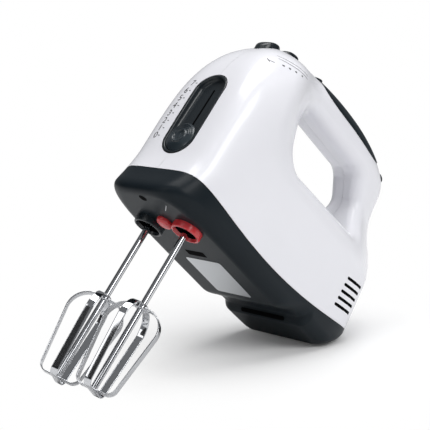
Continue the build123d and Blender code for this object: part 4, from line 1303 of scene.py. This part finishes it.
class MIXER_OT_flank_marks(bpy.types.Operator):
    """Plain printed dots, arcs and tick beside the top buttons, and a painted highlight by the sockets: a light
    strip for the glint on a step's edge
    """

    bl_idname = "mixer.flank_marks"
    bl_label = "Flank Marks"

    def execute(self, context):
        u = np.linspace(0, 1, 40)
        for k, (x, z) in enumerate(FLANK_DOTS):
            dot_x = x + DOT_LENGTH / 2 - DOT_LENGTH * u
            dot_z = z - DOT_RISE / 2 + DOT_RISE * u
            printed(f"flank_dot_{k + 1}", flank_line(dot_x, dot_z, DOT_WIDTH))
        for k, (rise, width) in enumerate(FLANK_ARCS):
            arc_z = ARC_Z + rise + ARC_RISE * u - ARC_SAG * u * (1 - u)
            printed(f"flank_arc_{k + 1}", flank_line(ARC_X - ARC_LENGTH * u, arc_z, width))
        for name, start, run, width in FLANK_TICK:
            line = flank_line(start[0] + run[0] * u, start[1] + run[1] * u, width)
            printed("flank_tick_" + name, line)
        # Light grey strip by the sockets: painted highlight for the glint on a step's edge
        grid_piece("socket_tick", self.socket_tick(u), finish("plate_grey"), "housing")
        return {"FINISHED"}

    def socket_tick(self, u):
        """Straight light strip on the underside, a painted highlight: a run along its aim, and a breadth square to
        it.
        """
        v = np.linspace(-SOCKET_GLINT_HALF, SOCKET_GLINT_HALF, 3)[None, :]
        run = (u - 0.5)[:, None] * SOCKET_GLINT_LENGTH
        c, s = SOCKET_GLINT_AIM
        x = SOCKET_GLINT[0] + c * run - s * v
        y = SOCKET_GLINT[1] + s * run + c * v
        return np.stack([x, y, SOCKET_GLINT[2] + 0 * v * run], -1)


class MIXER_OT_inside(bpy.types.Operator):
    """Finishes of the nodes that keep their own shape: feet, inlet, screws and the works inside"""

    bl_idname = "mixer.inside"
    bl_label = "Inner Finishes"

    def execute(self, context):
        for part in frame["record"]["subparts"]:
            mesh = frame["nodes"][part["node"]].data
            mesh.materials.clear()
            mesh.materials.append(finish(SLOT_LOOKS[part["material_slot"]]))
        return {"FINISHED"}


def soft_light(name, place, aim, size, power):
    """Rectangular studio lamp at a place, pointed at another."""
    lamp = bpy.data.lights.new(name, "AREA")
    lamp.shape = "RECTANGLE"
    lamp.size = size[0]
    lamp.size_y = size[1]
    lamp.energy = power
    obj = bpy.data.objects.new(name, lamp)
    turn = (aim - place).to_track_quat("-Z", "Y").to_matrix().to_4x4()
    obj.matrix_world = Matrix.Translation(place) @ turn
    bpy.context.scene.collection.objects.link(obj)


def blend(nodes, links, share, first, second):
    """Mix of two shaders: the first at share 0, the second at share 1."""
    mix = nodes.new("ShaderNodeMixShader")
    links.new(share, mix.inputs[0])
    links.new(first.outputs[0], mix.inputs[1])
    links.new(second.outputs[0], mix.inputs[2])
    return mix


class MIXER_OT_stage(bpy.types.Operator):
    """Pale floor, soft studio light and the camera"""

    bl_idname = "mixer.stage"
    bl_label = "Stage"

    def execute(self, context):
        scene = context.scene
        scene.view_settings.view_transform = "Standard"
        s = FLOOR_HALF
        corners = [(-s, -s, 0.0), (s, -s, 0.0), (s, s, 0.0), (-s, s, 0.0)]
        mesh = bpy.data.meshes.new("floor")
        mesh.from_pydata(corners, [], [(0, 1, 2, 3)])
        floor = bpy.data.objects.new("floor", mesh)
        scene.collection.objects.link(floor)
        mesh.materials.append(self.floor_paint())
        self.backdrop(scene)
        lo, hi = (Vector(c) for c in CAD_BOX)
        mid = (lo + hi) / 2
        for name, place, size, power in LAMPS:
            soft_light(name, mid + Vector(place), mid, size, power)
        self.dark_cards(mid)
        self.camera(scene)
        return {"FINISHED"}

    def dark_cards(self, mid):
        """Upright black cards for the plated metal to mirror, unseen by cameras and without shadows."""
        paint = finish("card_black")
        u = np.linspace(-1, 1, 2)
        for name, turn, reach in CARDS:
            a = np.radians(turn)
            out = np.array([np.cos(a), np.sin(a), 0.0])
            side = np.array([-np.sin(a), np.cos(a), 0.0])
            across = side * u[:, None, None] * CARD_HALF_WIDTH
            rise = np.array([0.0, 0.0, 1.0]) * (u[None, :, None] * CARD_HALF_HEIGHT + CARD_MIDDLE)
            points = np.array([mid.x, mid.y, 0.0]) + out * reach + across + rise
            card = add_mesh(name, points.reshape(-1, 3), grid_faces(2, 2), paint, face_out=False)
            card.visible_camera = False
            card.visible_shadow = False

    def floor_paint(self):
        """White floor: diffuse near the feet, lifted a little in view, fading to the backdrop's white. The fade is
        centred on the heel, so the floor is darker round it: painted shade there over the real shadow.
        """
        mat = bpy.data.materials.new("floor_paint")
        mat.use_nodes = True
        nodes = mat.node_tree.nodes
        links = mat.node_tree.links
        nodes.clear()
        out = nodes.new("ShaderNodeOutputMaterial")
        matte = dial(nodes.new("ShaderNodeBsdfDiffuse"), Color=FLOOR_TONE)
        glow = dial(nodes.new("ShaderNodeEmission"), Strength=FLOOR_GLOW)
        white = dial(nodes.new("ShaderNodeEmission"), Strength=1.0)
        dark = dial(nodes.new("ShaderNodeEmission"), Strength=0.0)
        path = nodes.new("ShaderNodeLightPath")
        seen = nodes.new("ShaderNodeMath")
        seen.operation = "MAXIMUM"
        links.new(path.outputs["Is Camera Ray"], seen.inputs[0])
        links.new(path.outputs["Is Transmission Ray"], seen.inputs[1])
        lift = blend(nodes, links, seen.outputs[0], dark, glow)
        both = nodes.new("ShaderNodeAddShader")
        links.new(matte.outputs[0], both.inputs[0])
        links.new(lift.outputs[0], both.inputs[1])
        coords = nodes.new("ShaderNodeTexCoord")
        # Fade centred on the heel: the white glow is held back round it, painted shade over the real shadow
        lo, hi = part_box("heel_feet")
        length = nodes.new("ShaderNodeVectorMath")
        length.operation = "DISTANCE"
        length.inputs[1].default_value = ((lo[0] + hi[0]) / 2, HEEL_SHADE_Y, 0.0)
        links.new(coords.outputs["Object"], length.inputs[0])
        fade = dial(nodes.new("ShaderNodeMapRange"), From_Min=HEEL_SHADE_START, From_Max=HEEL_SHADE_END)
        fade.interpolation_type = "SMOOTHSTEP"
        links.new(length.outputs["Value"], fade.inputs["Value"])
        far = nodes.new("ShaderNodeMath")
        far.operation = "MULTIPLY"
        links.new(fade.outputs["Result"], far.inputs[0])
        links.new(seen.outputs[0], far.inputs[1])
        paint = blend(nodes, links, far.outputs[0], both, white)
        links.new(paint.outputs[0], out.inputs["Surface"])
        return mat

    def backdrop(self, scene):
        """World: white where the camera sees it, a plain grey sky for light and mirror images."""
        world = bpy.data.worlds.new("studio")
        scene.world = world
        world.use_nodes = True
        nodes = world.node_tree.nodes
        links = world.node_tree.links
        nodes.clear()
        out = nodes.new("ShaderNodeOutputWorld")
        path = nodes.new("ShaderNodeLightPath")
        sky = dial(nodes.new("ShaderNodeBackground"), Color=SKY_TONE, Strength=SKY_STRENGTH)
        white = dial(nodes.new("ShaderNodeBackground"), Color=WHITE, Strength=1.0)
        mix = blend(nodes, links, path.outputs["Is Camera Ray"], sky, white)
        links.new(mix.outputs[0], out.inputs["Surface"])

    def camera(self, scene):
        """Camera of the photograph: to the nose's left, a little above, with a long lens."""
        a = np.radians(CAMERA_TURN)
        e = np.radians(CAMERA_RISE)
        back = np.array([np.cos(e) * np.cos(a), np.cos(e) * np.sin(a), np.sin(e)])
        right = np.array([-np.sin(a), np.cos(a), 0.0])
        up = np.cross(back, right)
        place = HOME + CAMERA_DISTANCE * back + CAMERA_RIGHT * right + CAMERA_UP * up
        lens = bpy.data.cameras.new("camera")
        lens.sensor_width = SENSOR_WIDTH
        lens.lens = SENSOR_WIDTH * FOCAL_PIXELS / IMAGE_PIXELS
        lens.clip_start = CAMERA_CLIP
        cam = bpy.data.objects.new("camera", lens)
        turn = Matrix((right, up, back)).transposed().to_4x4()
        cam.matrix_world = Matrix.Translation(Vector(place)) @ turn
        scene.collection.objects.link(cam)
        scene.camera = cam


BUILDERS = (
    MIXER_OT_stage,
    MIXER_OT_inside,
    MIXER_OT_shells,
    MIXER_OT_grip,
    MIXER_OT_sockets,
    MIXER_OT_beaters,
    MIXER_OT_speed_control,
    MIXER_OT_top_buttons,
    MIXER_OT_slots,
    MIXER_OT_marks,
    MIXER_OT_flank_marks,
)


class MIXER_PT_panel(bpy.types.Panel):
    """Lists the builders and the values they read"""

    bl_idname = "MIXER_PT_panel"
    bl_label = "Hand Mixer"
    bl_space_type = "VIEW_3D"
    bl_region_type = "UI"
    bl_category = "Mixer"

    def draw(self, context):
        layout = self.layout
        for group in (context.scene.mixer_colours, context.scene.mixer_sizes):
            for key in group.__annotations__:
                layout.prop(group, key)
        for builder in BUILDERS:
            layout.operator(builder.bl_idname)


CLASSES = (MixerColours, MixerSizes, *BUILDERS, MIXER_PT_panel)


def register():
    """Registers the classes and hangs the value groups on the scene."""
    for cls in CLASSES:
        bpy.utils.register_class(cls)
    bpy.types.Scene.mixer_colours = bpy.props.PointerProperty(type=MixerColours)
    bpy.types.Scene.mixer_sizes = bpy.props.PointerProperty(type=MixerSizes)


def unregister():
    """Takes the value groups off the scene and the classes out again."""
    del bpy.types.Scene.mixer_sizes
    del bpy.types.Scene.mixer_colours
    for cls in reversed(CLASSES):
        bpy.utils.unregister_class(cls)


def main():
    """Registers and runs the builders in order."""
    register()
    for builder in BUILDERS:
        getattr(bpy.ops.mixer, builder.__name__.removeprefix("MIXER_OT_"))()


if __name__ == "__main__":
    main()
